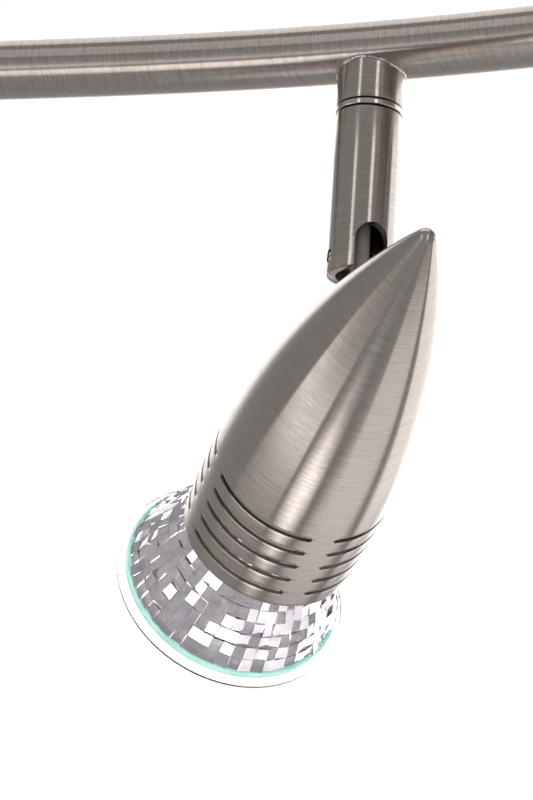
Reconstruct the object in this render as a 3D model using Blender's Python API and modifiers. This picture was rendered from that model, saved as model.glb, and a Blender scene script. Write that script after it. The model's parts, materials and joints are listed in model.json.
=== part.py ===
# Ceiling spotlight bar: a waved oval bar under a round canopy, with two swivelling
# bullet heads that each hold a twist-in reflector lamp.
# World frame: metres, +Z up, origin where the canopy's centre meets the ceiling.

import math

import bmesh
import bpy
from mathutils import Matrix, Vector

# ---------------------------------------------------------------- driving sizes (metres, degrees)
GAP = 0.0003  # clearance left between touching pieces

BAR_LENGTH = 0.400
BAR_WIDTH = 0.020
BAR_HEIGHT = 0.011
BAR_WALL = 0.0012
WAVE_AMPLITUDE = 0.0075
HEAD_SPACING = 0.200  # the heads sit on the wave's crests
END_CAP_PLUG = 0.008
END_CAP_FACE = 0.0015

CANOPY_RADIUS = 0.045
CANOPY_DEPTH = 0.022
CANOPY_WALL = 0.0010
CANOPY_EDGE = 0.004
BRACKET_HALF_LENGTH = 0.039
BRACKET_WIDTH = 0.016
BRACKET_THICKNESS = 0.0016
BRACKET_SLOT_WIDTH = 0.0045
BRACKET_SLOT_LENGTH = 0.012
BRACKET_SLOT_AT = 0.020
CANOPY_SCREW_AT = 0.0335
CANOPY_SCREW_RADIUS = 0.0018
CANOPY_SCREW_HEAD = 0.0040
HANGER_SPACING = 0.040
HANGER_HEIGHT = 0.008
TERMINAL_SIZE = (0.022, 0.014, 0.010)
EARTH_AT = 0.0105  # from the canopy's axis
EARTH_RADIUS = 0.0015
EARTH_HEAD = 0.0028
EARTH_HEAD_DEPTH = 0.0022
CABLE_BEND = 0.004

TUBE_RADIUS = 0.007  # collar, washer, stem and hanger spacers
NIPPLE_BORE = 0.0030
NUT_RADIUS = 0.0072
NUT_THICKNESS = 0.0025
COLLAR_HEIGHT = 0.0075
WASHER_THICKNESS = 0.0012
STEM_LENGTH = 0.0358
STEM_WALL = 0.0020
STEM_EDGE = 0.0006
NIPPLE_ENGAGEMENT = 0.012
GRUB_RADIUS = 0.0015
GRUB_DEPTH = 0.006  # below the stem's top
GROOVE_DEPTH = 0.0006
SLOT_WIDTH = 0.0070
SLOT_HEIGHT = 0.0098
PIVOT_HEIGHT = 0.0035  # above the stem's lower end
PIVOT_RADIUS = 0.0011

HEAD_LENGTH = 0.0972
HEAD_RADIUS = 0.0193
OGIVE_ARC = 0.175  # radius of the arc that forms the bullet's flank
WIDEST_AT = 0.077  # from the nose
TAIL_ARC = 0.360  # radius of the arc from the widest ring to the opening
NOSE_RADIUS = 0.0023
SHELL_WALL = 0.0009
VENT_ROWS = 5
VENT_GROUPS = 4
VENT_FIRST = 0.0748  # from the nose
VENT_PITCH = 0.0045
VENT_HEIGHT = 0.0012
VENT_WEB = 0.0049
VENT_CLOCK = 8.5

FOOT_AT = 0.0369  # where the knuckle stands on the shell, from the nose
KNUCKLE_REACH = 0.0085  # pivot to shell
EAR_RADIUS = 0.0025
BOSS_RADIUS = 0.0046
STUD_RADIUS = 0.0028
STUD_NUT = 0.0022
SLEEVE_RADIUS = 0.0017
SLEEVE_PARTING = 0.0018  # half of the free stretch at the pivot

LAMP_LENGTH = 0.0540
LAMP_RADIUS = 0.02535
LAMP_TIP_AT = 0.0670  # pin tips, from the nose
GLASS_THICKNESS = 0.0015
GLASS_EDGE = 0.0003
BOWL_RIM_RADIUS = 0.0240
BOWL_RIM_HEIGHT = 0.0016
BOWL_NECK_RADIUS = 0.0095
BOWL_DEEPEST = 0.0330  # front of the lamp to the bowl's neck
BOWL_WALL = 0.0013
BOWL_STEP = 0.0006  # from the rim down to the mirror
BOWL_CLEARANCE = 0.0005  # to the shell's mouth where the leaning lamp comes nearest
CAPSULE_RADIUS = 0.0042
CAPSULE_AT = 0.014  # behind the lamp's front
LAMP_BASE_RADIUS = 0.0108
PIN_LENGTH = 0.0070
PIN_RADIUS = 0.0023
PIN_SPACING = 0.010
HOLDER_RADIUS = 0.0145
HOLDER_LENGTH = 0.0160
HOLDER_PLAY = 0.0012  # lets the lamp lean in its holder
HOLDER_SCREW_AT = 0.0085
HOLDER_SCREW_RADIUS = 0.0013
HOLDER_SCREW_DEPTH = 0.0060
SHEET = 0.0010

# each head: side of the bar, pan of its slot, tilt below level, lean of the lamp in its holder
HEADS = (
    {"number": 1, "side": -1, "pan": -52.7, "tilt": 21.7, "lean": (-0.7, 4.3)},
    {"number": 2, "side": 1, "pan": -127.3, "tilt": 21.7, "lean": (-0.7, 4.3)},
)

ROUND = 32  # sides of the visible turned pieces
SHELL_SIDES = 28
OVAL_SIDES = 20
BAR_STATIONS = 16
SMALL = 20  # sides of the small ones
TINY = 12

# ---------------------------------------------------------------- sizes that follow
BAR_Z = -(CANOPY_DEPTH + GAP + HANGER_HEIGHT + BAR_HEIGHT / 2)
COLLAR_BOTTOM = BAR_Z - BAR_HEIGHT / 2 - COLLAR_HEIGHT
WASHER_BOTTOM = COLLAR_BOTTOM - GAP - WASHER_THICKNESS
STEM_TOP = WASHER_BOTTOM - GAP
STEM_BOTTOM = STEM_TOP - STEM_LENGTH
STEM_BORE = TUBE_RADIUS - STEM_WALL
NIPPLE_RADIUS = STEM_BORE - GAP
EAR_THICKNESS = SLOT_WIDTH / 2 - SLEEVE_RADIUS - 2 * GAP  # the sleeve passes between the ears
BAR_INNER = (BAR_WIDTH / 2 - BAR_WALL, BAR_HEIGHT / 2 - BAR_WALL)
LAMP_FRONT_AT = LAMP_TIP_AT + LAMP_LENGTH
BASE_BACK = LAMP_LENGTH - PIN_LENGTH  # behind the lamp's front


def wave(x):
    """Sideways place of the bar's centre line."""
    return -WAVE_AMPLITUDE * math.sin(math.pi * x / HEAD_SPACING)


def wave_angle(x):
    """Direction of the bar's centre line in plan."""
    steepest = WAVE_AMPLITUDE * math.pi / HEAD_SPACING
    return -math.atan(steepest * math.cos(math.pi * x / HEAD_SPACING))


def flank(u):
    """Outer radius of the head at a distance u behind its nose."""
    if u >= WIDEST_AT:
        return HEAD_RADIUS - TAIL_ARC + math.sqrt(TAIL_ARC**2 - (u - WIDEST_AT) ** 2)
    return HEAD_RADIUS - OGIVE_ARC + math.sqrt(OGIVE_ARC**2 - (WIDEST_AT - u) ** 2)


def flank_slope(u):
    return math.atan((WIDEST_AT - u) / math.sqrt(OGIVE_ARC**2 - (WIDEST_AT - u) ** 2))


FOOT_SLOPE = flank_slope(FOOT_AT)
AXIS_OFFSET = flank(FOOT_AT) + KNUCKLE_REACH * math.cos(FOOT_SLOPE)  # pivot to head axis
NOSE_ABOVE_PIVOT = FOOT_AT - KNUCKLE_REACH * math.sin(FOOT_SLOPE)

LEAN = max(math.radians(math.hypot(*settings["lean"])) for settings in HEADS)
MOUTH_ROOM = flank(HEAD_LENGTH) - SHELL_WALL - LEAN * (HEAD_LENGTH - LAMP_TIP_AT) - BOWL_CLEARANCE
BOWL_START = GLASS_THICKNESS + GAP + BOWL_RIM_HEIGHT
BOWL_EDGE_RADIUS = BOWL_RIM_RADIUS - BOWL_STEP
BOWL_FALL = BOWL_EDGE_RADIUS**2 - BOWL_NECK_RADIUS**2
MOUTH_DEPTH = LAMP_FRONT_AT - HEAD_LENGTH - BOWL_START - LEAN * flank(HEAD_LENGTH)
MOUTH_FALL = BOWL_EDGE_RADIUS**2 - MOUTH_ROOM**2
BOWL_DEPTH = min(BOWL_DEEPEST, BOWL_START + MOUTH_DEPTH * BOWL_FALL / MOUTH_FALL)

HOLDER_FRONT = LAMP_FRONT_AT - BASE_BACK - HOLDER_PLAY
HOLDER_BACK = HOLDER_FRONT - HOLDER_LENGTH
# the bracket's arm runs straight under the curved shell
ARM_LENGTH = (HOLDER_BACK - FOOT_AT) / math.cos(FOOT_SLOPE)
ARM_SAG = ARM_LENGTH**2 / (2 * OGIVE_ARC)
ARM_DISH = flank(FOOT_AT) - math.sqrt(flank(FOOT_AT) ** 2 - BOSS_RADIUS**2)
# its top, from the pivot along the shell's normal
ARM_TOP = -(KNUCKLE_REACH + SHELL_WALL + ARM_SAG + ARM_DISH + 2 * GAP)
STUD_END = ARM_TOP - SHEET - STUD_NUT - GAP

# ---------------------------------------------------------------- scene, materials, helpers
for thing in list(bpy.data.objects):
    bpy.data.objects.remove(thing)

parts = bpy.data.collections.new("spotlight_bar")
cutters = bpy.data.collections.new("cutters")
bpy.context.scene.collection.children.link(parts)
bpy.context.scene.collection.children.link(cutters)


def finish(name, color, roughness, metallic, alpha=1.0):
    made = bpy.data.materials.new(name)
    made.use_nodes = True
    shader = made.node_tree.nodes["Principled BSDF"]
    shader.inputs["Base Color"].default_value = (*color, 1)
    shader.inputs["Roughness"].default_value = roughness
    shader.inputs["Metallic"].default_value = metallic
    shader.inputs["Alpha"].default_value = alpha
    return made


NICKEL = finish("brushed_nickel", (0.42, 0.39, 0.37), 0.32, 1.0)
ZINC = finish("zinc_plated_steel", (0.62, 0.62, 0.60), 0.40, 1.0)
BRASS = finish("brass", (0.72, 0.55, 0.25), 0.30, 1.0)
CERAMIC = finish("ceramic", (0.86, 0.84, 0.78), 0.60, 0.0)
FIBRE = finish("woven_glass_sleeve", (0.40, 0.40, 0.33), 0.80, 0.0)
MIRROR = finish("reflector", (0.80, 0.80, 0.84), 0.10, 1.0)
GLASS = finish("clear_glass", (0.80, 0.92, 0.90), 0.05, 0.0, 0.35)
NYLON = finish("white_nylon", (0.85, 0.85, 0.82), 0.50, 0.0)
CABLE = finish("cable_insulation", (0.80, 0.80, 0.76), 0.50, 0.0)


def empty(name, location, rotation=(0, 0, 0), parent=None):
    made = bpy.data.objects.new(name, None)
    parts.objects.link(made)
    made.parent = parent
    made.location = location
    made.rotation_euler = [math.radians(angle) for angle in rotation]
    made.empty_display_size = 0.01
    return made


def add(name, mesh, material, parent=None, location=(0, 0, 0), rotation=(0, 0, 0)):
    """A piece with a material, or a cutter where the material is None."""
    made = bpy.data.objects.new(name, mesh)
    made.parent = parent
    made.location = location
    made.rotation_euler = [math.radians(angle) for angle in rotation]
    if material is None:
        cutters.objects.link(made)
        made.hide_render = True
        made.display_type = "WIRE"
    else:
        parts.objects.link(made)
        made.data.materials.append(material)
    return made


def mesh_from(bm, name, sharp=math.radians(35)):
    mesh = bpy.data.meshes.new(name)
    bm.to_mesh(mesh)
    bm.free()
    mesh.shade_smooth()
    mesh.set_sharp_from_angle(angle=sharp)
    return mesh


def turned(name, profile, material, closed=False, steps=SMALL, **place):
    """A turned piece: the profile is (radius, height) down the outer side, then back inside."""
    bm = bmesh.new()
    points = [bm.verts.new((radius, 0, height)) for radius, height in profile]
    for first, second in zip(points, points[1:]):
        bm.edges.new((first, second))
    if closed:
        bm.edges.new((points[-1], points[0]))
    made = add(name, mesh_from(bm, name), material, **place)
    screw = made.modifiers.new("turn", "SCREW")
    screw.steps = steps
    screw.render_steps = steps
    screw.use_merge_vertices = True
    screw.merge_threshold = 0.00001
    screw.use_smooth_shade = True
    return made


def rod(name, radius, low, high, material, steps=SMALL, **place):
    return turned(name, [(0, high), (radius, high), (radius, low), (0, low)], material, steps=steps, **place)


def tube(name, outer, inner, low, high, material, steps=SMALL, **place):
    profile = [(outer, high), (outer, low), (inner, low), (inner, high)]
    return turned(name, profile, material, closed=True, steps=steps, **place)


def hex_nut(name, radius, bore, low, high, **place):
    made = rod(name, radius, low, high, BRASS, steps=6, **place)
    boolean(made, rod(f"{name}_bore", bore, low - GAP, high + GAP, None, **place))


def block(name, size, material, center=(0, 0, 0), **place):
    bm = bmesh.new()
    bmesh.ops.create_cube(bm, size=1.0)
    bmesh.ops.scale(bm, vec=size, verts=bm.verts)
    bmesh.ops.translate(bm, vec=center, verts=bm.verts)
    return add(name, mesh_from(bm, name), material, **place)


def boolean(target, other, operation="DIFFERENCE"):
    made = target.modifiers.new(operation.lower(), "BOOLEAN")
    made.object = other
    made.operation = operation
    made.solver = "EXACT"


def bevel(target, width, segments=2, angle=30):
    made = target.modifiers.new("edges", "BEVEL")
    made.width = width
    made.segments = segments
    made.limit_method = "ANGLE"
    made.angle_limit = math.radians(angle)


def mesh_of_curve(curve):
    """The curve's evaluated mesh with its caps welded and its faces turned outwards."""
    bpy.context.view_layer.update()
    graph = bpy.context.evaluated_depsgraph_get()
    mesh = bpy.data.meshes.new_from_object(curve.evaluated_get(graph))
    bm = bmesh.new()
    bm.from_mesh(mesh)
    bmesh.ops.remove_doubles(bm, verts=bm.verts, dist=0.00001)
    bmesh.ops.recalc_face_normals(bm, faces=bm.faces)
    bm.to_mesh(mesh)
    bm.free()
    return mesh


def path_curve(name, points):
    data = bpy.data.curves.new(name, "CURVE")
    data.dimensions = "3D"
    spline = data.splines.new("POLY")
    spline.points.add(len(points) - 1)
    for point, place in zip(spline.points, points):
        point.co = (*place, 1)
    return data


def oval_sweep(name, half_width, half_height, half_length, material=None):
    """A solid of oval section that follows the bar's wave."""
    section = bpy.data.curves.new(name + "_section", "CURVE")
    section.dimensions = "2D"
    oval = section.splines.new("POLY")
    oval.points.add(OVAL_SIDES - 1)
    for index, point in enumerate(oval.points):
        turn = 2 * math.pi * index / OVAL_SIDES
        point.co = (half_width * math.cos(turn), half_height * math.sin(turn), 0, 1)
    oval.use_cyclic_u = True
    section_object = bpy.data.objects.new(name + "_section", section)
    cutters.objects.link(section_object)
    section_object.hide_render = True
    run = [half_length * (2 * index / BAR_STATIONS - 1) for index in range(BAR_STATIONS + 1)]
    data = path_curve(name, [(x, wave(x), BAR_Z) for x in run])
    data.twist_mode = "Z_UP"
    data.bevel_mode = "OBJECT"
    data.bevel_object = section_object
    data.use_fill_caps = True
    guide = bpy.data.objects.new(name + "_guide", data)
    cutters.objects.link(guide)
    mesh = mesh_of_curve(guide)
    bpy.data.objects.remove(guide)
    bpy.data.objects.remove(section_object)
    mesh.shade_smooth()
    mesh.set_sharp_from_angle(angle=math.radians(35))
    mesh.materials.clear()
    return add(name, mesh, material)


def oval_plug(name, half_width, half_height, ends, material, **place):
    """A short oval bar along X between two ends."""
    bm = bmesh.new()
    bmesh.ops.create_cone(bm, cap_ends=True, segments=OVAL_SIDES, radius1=1, radius2=1, depth=1)
    bmesh.ops.rotate(bm, matrix=Matrix.Rotation(math.radians(90), 3, "Y"), verts=bm.verts)
    bmesh.ops.scale(bm, vec=(abs(ends[1] - ends[0]), half_width, half_height), verts=bm.verts)
    bmesh.ops.translate(bm, vec=((ends[0] + ends[1]) / 2, 0, 0), verts=bm.verts)
    return add(name, mesh_from(bm, name), material, **place)


def cord(name, points, radius, material, **place):
    """A round cord on a smooth curve through the given points."""
    smooth = []
    ends = [points[0]] + points + [points[-1]]
    for before, start, stop, after in zip(ends, ends[1:], ends[2:], ends[3:]):
        before, start, stop, after = (Vector(point) for point in (before, start, stop, after))
        for step in range(3):
            t = step / 3
            smooth.append(
                0.5
                * (
                    2 * start
                    + (stop - before) * t
                    + (2 * before - 5 * start + 4 * stop - after) * t**2
                    + (3 * start - before - 3 * stop + after) * t**3
                )
            )
    smooth.append(Vector(points[-1]))
    data = path_curve(name, smooth)
    data.bevel_depth = radius
    data.bevel_resolution = 2
    data.use_fill_caps = True
    guide = bpy.data.objects.new(name + "_guide", data)
    cutters.objects.link(guide)
    mesh = mesh_of_curve(guide)
    bpy.data.objects.remove(guide)
    mesh.shade_smooth()
    return add(name, mesh, material, **place)


# ---------------------------------------------------------------- bar and its end caps
HALF_BAR = BAR_LENGTH / 2
OVERRUN = 0.010

bar = oval_sweep("bar", BAR_WIDTH / 2, BAR_HEIGHT / 2, HALF_BAR, NICKEL)
bar_hollow = oval_sweep("bar_hollow", *BAR_INNER, HALF_BAR + OVERRUN)
boolean(bar, bar_hollow)
bar_seat = oval_sweep("bar_seat", BAR_WIDTH / 2 + GAP, BAR_HEIGHT / 2 + GAP, HALF_BAR)
bar_lining = oval_sweep("bar_lining", BAR_INNER[0] - GAP, BAR_INNER[1] - GAP, HALF_BAR)

for side, label in ((-1, "left"), (1, "right")):
    end = side * HALF_BAR
    spot = {"location": (end, wave(end), BAR_Z), "rotation": (0, 0, math.degrees(wave_angle(end)))}
    face = (side * GAP, side * (GAP + END_CAP_FACE))
    cap = oval_plug(f"end_cap_{label}", BAR_WIDTH / 2, BAR_HEIGHT / 2, face, NICKEL, **spot)
    bevel(cap, END_CAP_FACE / 2)
    reach = (-side * END_CAP_PLUG, side * (GAP + END_CAP_FACE / 2))
    plug = oval_plug(f"cap_plug_{label}", BAR_INNER[0] - GAP, BAR_INNER[1] - GAP, reach, None, **spot)
    boolean(cap, plug, "UNION")

# ---------------------------------------------------------------- canopy and its fixings
corner = [
    (
        CANOPY_RADIUS - CANOPY_EDGE + CANOPY_EDGE * math.cos(step * math.pi / 8),
        -CANOPY_DEPTH + CANOPY_EDGE - CANOPY_EDGE * math.sin(step * math.pi / 8),
    )
    for step in range(5)
]
canopy = turned(
    "canopy",
    [
        (0, -CANOPY_DEPTH + CANOPY_WALL),
        (CANOPY_RADIUS - CANOPY_EDGE, -CANOPY_DEPTH + CANOPY_WALL),
        (CANOPY_RADIUS - CANOPY_WALL, -CANOPY_DEPTH + CANOPY_EDGE),
        (CANOPY_RADIUS - CANOPY_WALL, 0),
        (CANOPY_RADIUS, 0),
        *corner,
        (0, -CANOPY_DEPTH),
    ],
    NICKEL,
    steps=40,
)

bracket = block(
    "ceiling_bracket",
    (BRACKET_WIDTH, 2 * BRACKET_HALF_LENGTH, BRACKET_THICKNESS),
    ZINC,
    (0, 0, -BRACKET_THICKNESS / 2),
)
for side, label in ((-1, "front"), (1, "back")):
    slot = block(
        f"bracket_slot_{label}",
        (BRACKET_SLOT_WIDTH, BRACKET_SLOT_LENGTH, 4 * BRACKET_THICKNESS),
        None,
        (0, side * BRACKET_SLOT_AT, 0),
    )
    boolean(bracket, slot)
    at = (0, side * CANOPY_SCREW_AT, 0)
    hole = rod(
        f"canopy_screw_hole_{label}", CANOPY_SCREW_RADIUS + GAP, -2 * CANOPY_DEPTH, OVERRUN, None, location=at
    )
    boolean(bracket, hole)
    boolean(canopy, hole)
    under = -CANOPY_DEPTH - GAP
    turns = [step * math.pi / 8 for step in range(5)]
    head_depth = CANOPY_SCREW_HEAD / 2
    dome = [(CANOPY_SCREW_HEAD * math.cos(turn), under - head_depth * math.sin(turn)) for turn in turns]
    dome[-1] = (0, dome[-1][1])
    turned(
        f"canopy_screw_{label}",
        [(0, -GAP), (CANOPY_SCREW_RADIUS, -GAP), (CANOPY_SCREW_RADIUS, under), *dome],
        NICKEL,
        steps=TINY,
        location=at,
    )

block(
    "terminal_block",
    TERMINAL_SIZE,
    NYLON,
    (0, 0, -BRACKET_THICKNESS - GAP - TERMINAL_SIZE[2] / 2),
)
at = (0, EARTH_AT, 0)
earth_hole = rod("earth_hole", EARTH_RADIUS + GAP, -OVERRUN, OVERRUN, None, steps=TINY, location=at)
boolean(bracket, earth_hole)
earth_under = -BRACKET_THICKNESS - GAP
turned(
    "earth_screw",
    [
        (0, -GAP),
        (EARTH_RADIUS, -GAP),
        (EARTH_RADIUS, earth_under),
        (EARTH_HEAD, earth_under),
        (EARTH_HEAD, earth_under - EARTH_HEAD_DEPTH),
        (0, earth_under - EARTH_HEAD_DEPTH),
    ],
    BRASS,
    steps=TINY,
    location=at,
)

for side, label in ((-1, "1"), (1, "2")):
    x = side * HANGER_SPACING / 2
    at = (x, wave(x), 0)
    bore = rod(f"hanger_bore_{label}", NIPPLE_RADIUS + GAP, BAR_Z, -CANOPY_WALL, None, location=at)
    spacer = rod(
        f"hanger_spacer_{label}", TUBE_RADIUS, BAR_Z, -CANOPY_DEPTH - GAP, NICKEL, steps=24, location=at
    )
    boolean(canopy, bore)
    boolean(bar, bore)
    boolean(spacer, bore)
    boolean(spacer, bar_seat)
    nut_bottom = -CANOPY_DEPTH + CANOPY_WALL + GAP
    nut_top = nut_bottom + NUT_THICKNESS
    hex_nut(f"hanger_nut_{label}", NUT_RADIUS, NIPPLE_RADIUS + GAP, nut_bottom, nut_top, location=at)
    tube(
        f"hanger_nipple_{label}",
        NIPPLE_RADIUS,
        NIPPLE_BORE,
        BAR_Z + BAR_INNER[1] - BAR_WALL / 2,
        nut_bottom + 2 * NUT_THICKNESS,
        ZINC,
        steps=SMALL,
        location=at,
    )
    post = side * HEAD_SPACING / 2
    drop = BAR_Z + BAR_INNER[1]
    start = side * (TERMINAL_SIZE[0] / 2 + GAP)
    level = -BRACKET_THICKNESS - TERMINAL_SIZE[2] / 2
    route = [(start, wave(x), level), ((start + x) / 2, wave(x), level)]
    route += [(x, wave(x), level - CABLE_BEND), (x, wave(x), drop)]
    route.append((x + side * CABLE_BEND, wave(x), BAR_Z))
    for share in (0.15, 0.4, 0.7):
        along = x + share * (post - x)
        route.append((along, wave(along), BAR_Z))
    last = post - side * (SLEEVE_RADIUS + 2 * GAP)
    route.append((last, wave(last), BAR_Z))
    cord(f"feed_cable_{label}", route, SLEEVE_RADIUS - GAP, CABLE)


# ---------------------------------------------------------------- swivel: collar, washer, nipple, nut
def swivel(number, pan):
    """The fixed half of the swivel, hung under the bar."""
    bore = rod(f"swivel_bore_{number}", NIPPLE_RADIUS + GAP, 0, BAR_Z - STEM_BOTTOM, None, parent=pan)
    boolean(bar, bore)
    low = COLLAR_BOTTOM - STEM_BOTTOM
    middle = BAR_Z - STEM_BOTTOM
    collar = rod(f"saddle_collar_{number}", TUBE_RADIUS, low, middle, NICKEL, steps=ROUND, parent=pan)
    boolean(collar, bar_seat)
    boolean(collar, bore)
    tube(
        f"swivel_washer_{number}",
        TUBE_RADIUS,
        NIPPLE_RADIUS + GAP,
        WASHER_BOTTOM - STEM_BOTTOM,
        WASHER_BOTTOM - STEM_BOTTOM + WASHER_THICKNESS,
        NICKEL,
        steps=ROUND,
        parent=pan,
    )
    seat = middle - BAR_INNER[1]
    nut = tube(
        f"saddle_nut_{number}",
        NUT_RADIUS,
        NIPPLE_RADIUS + GAP,
        seat,
        seat + NUT_THICKNESS + GAP,
        ZINC,
        steps=SMALL,
        parent=pan,
    )
    boolean(nut, bar_lining, "INTERSECT")
    groove = STEM_LENGTH - GRUB_DEPTH
    inner = NIPPLE_RADIUS - GROOVE_DEPTH
    reach = GRUB_RADIUS + GAP
    turned(
        f"swivel_nipple_{number}",
        [
            (NIPPLE_RADIUS, seat + NUT_THICKNESS),
            (NIPPLE_RADIUS, groove + reach),
            (inner, groove + reach),
            (inner, groove - reach),
            (NIPPLE_RADIUS, groove - reach),
            (NIPPLE_RADIUS, STEM_LENGTH - NIPPLE_ENGAGEMENT),
            (NIPPLE_BORE, STEM_LENGTH - NIPPLE_ENGAGEMENT),
            (NIPPLE_BORE, seat + NUT_THICKNESS),
        ],
        ZINC,
        closed=True,
        parent=pan,
    )


# ---------------------------------------------------------------- stem: slotted tube with its screws
def stem(number, pan):
    made = turned(
        f"stem_{number}",
        [
            (TUBE_RADIUS - STEM_EDGE, STEM_LENGTH),
            (TUBE_RADIUS - STEM_EDGE * 0.3, STEM_LENGTH - STEM_EDGE * 0.3),
            (TUBE_RADIUS, STEM_LENGTH - STEM_EDGE),
            (TUBE_RADIUS, STEM_EDGE),
            (TUBE_RADIUS - STEM_EDGE, 0),
            (STEM_BORE, 0),
            (STEM_BORE, STEM_LENGTH),
        ],
        NICKEL,
        closed=True,
        steps=ROUND,
        parent=pan,
    )
    spring_line = SLOT_HEIGHT - SLOT_WIDTH / 2
    straight = block(
        f"slot_{number}",
        (2 * TUBE_RADIUS, SLOT_WIDTH, 2 * spring_line),
        None,
        (TUBE_RADIUS, 0, 0),
        parent=pan,
    )
    arch = rod(
        f"slot_arch_{number}",
        SLOT_WIDTH / 2,
        0,
        2 * TUBE_RADIUS,
        None,
        steps=24,
        parent=pan,
        location=(0, 0, spring_line),
        rotation=(0, 90, 0),
    )
    boolean(straight, arch, "UNION")
    boolean(made, straight)
    grub_at = STEM_LENGTH - GRUB_DEPTH
    grub_hole = rod(
        f"grub_hole_{number}",
        GRUB_RADIUS + GAP,
        0,
        2 * TUBE_RADIUS,
        None,
        steps=TINY,
        parent=pan,
        location=(0, 0, grub_at),
        rotation=(0, -90, 0),
    )
    boolean(made, grub_hole)
    rod(
        f"grub_screw_{number}",
        GRUB_RADIUS,
        NIPPLE_RADIUS - GROOVE_DEPTH + GAP,
        TUBE_RADIUS - GAP,
        ZINC,
        steps=TINY,
        parent=pan,
        location=(0, 0, grub_at),
        rotation=(0, -90, 0),
    )
    ear_outside = SLOT_WIDTH / 2 - GAP
    for side, label in ((-1, "left"), (1, "right")):
        pivot_hole = rod(
            f"pivot_hole_{label}_{number}",
            PIVOT_RADIUS + GAP,
            0,
            2 * TUBE_RADIUS,
            None,
            steps=TINY,
            parent=pan,
            location=(0, 0, PIVOT_HEIGHT),
            rotation=(-side * 90, 0, 0),
        )
        boolean(made, pivot_hole)
        rod(
            f"pivot_screw_{label}_{number}",
            PIVOT_RADIUS,
            ear_outside - EAR_THICKNESS + GAP,
            TUBE_RADIUS - GAP,
            ZINC,
            steps=TINY,
            parent=pan,
            location=(0, 0, PIVOT_HEIGHT),
            rotation=(-side * 90, 0, 0),
        )
    rod(
        f"sleeve_upper_{number}",
        SLEEVE_RADIUS,
        PIVOT_HEIGHT + SLEEVE_PARTING,
        BAR_Z - STEM_BOTTOM + SLEEVE_RADIUS,
        FIBRE,
        steps=TINY,
        parent=pan,
    )


# ---------------------------------------------------------------- knuckle: fork, boss and hollow stud
def knuckle(number, tilt, axis):
    """Built about the pivot, with -Z towards the shell along the shell's normal."""
    frame = empty(f"knuckle_frame_{number}", (0, 0, 0), (0, math.degrees(FOOT_SLOPE) - 90, 0), tilt)
    outside = SLOT_WIDTH / 2 - GAP
    boss_top = min(-math.hypot(TUBE_RADIUS, PIVOT_HEIGHT), -TUBE_RADIUS - 2 * GAP) + GAP
    made = rod(
        f"knuckle_{number}",
        BOSS_RADIUS,
        -KNUCKLE_REACH - BOSS_RADIUS * math.sin(FOOT_SLOPE),
        boss_top,
        NICKEL,
        steps=24,
        parent=frame,
    )
    for side, label in ((-1, "left"), (1, "right")):
        middle = side * (outside - EAR_THICKNESS / 2)
        ear = block(
            f"ear_{label}_{number}",
            (2 * EAR_RADIUS, EAR_THICKNESS, -boss_top + GAP),
            None,
            (0, middle, (boss_top - GAP) / 2),
            parent=frame,
        )
        eye = rod(
            f"ear_eye_{label}_{number}",
            EAR_RADIUS,
            -EAR_THICKNESS / 2,
            EAR_THICKNESS / 2,
            None,
            parent=frame,
            location=(0, middle, 0),
            rotation=(90, 0, 0),
        )
        boolean(ear, eye, "UNION")
        boolean(made, ear, "UNION")
    pin_hole = rod(
        f"ear_holes_{number}",
        PIVOT_RADIUS + GAP,
        -TUBE_RADIUS,
        TUBE_RADIUS,
        None,
        steps=TINY,
        parent=frame,
        rotation=(90, 0, 0),
    )
    boolean(made, pin_hole)
    stations = [HEAD_LENGTH * step / 16 for step in range(1, 17)]
    envelope = turned(
        f"shell_envelope_{number}",
        [(0, 0), *[(flank(u) + GAP, -u) for u in stations], (0, -HEAD_LENGTH)],
        None,
        steps=96,
        parent=axis,
    )
    boolean(made, envelope)
    stud = rod(f"stud_{number}", STUD_RADIUS, STUD_END, boss_top - GAP, None, parent=frame)
    boolean(made, stud, "UNION")
    cable_way = (SLEEVE_RADIUS + GAP, 2 * STUD_END, 0.5 * boss_top)
    boolean(made, rod(f"cable_way_{number}", *cable_way, None, parent=frame))
    nut_top = ARM_TOP - SHEET - GAP
    nut = (BOSS_RADIUS, STUD_RADIUS + GAP, nut_top - STUD_NUT, nut_top)
    hex_nut(f"knuckle_nut_{number}", *nut, parent=frame)
    return frame


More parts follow.
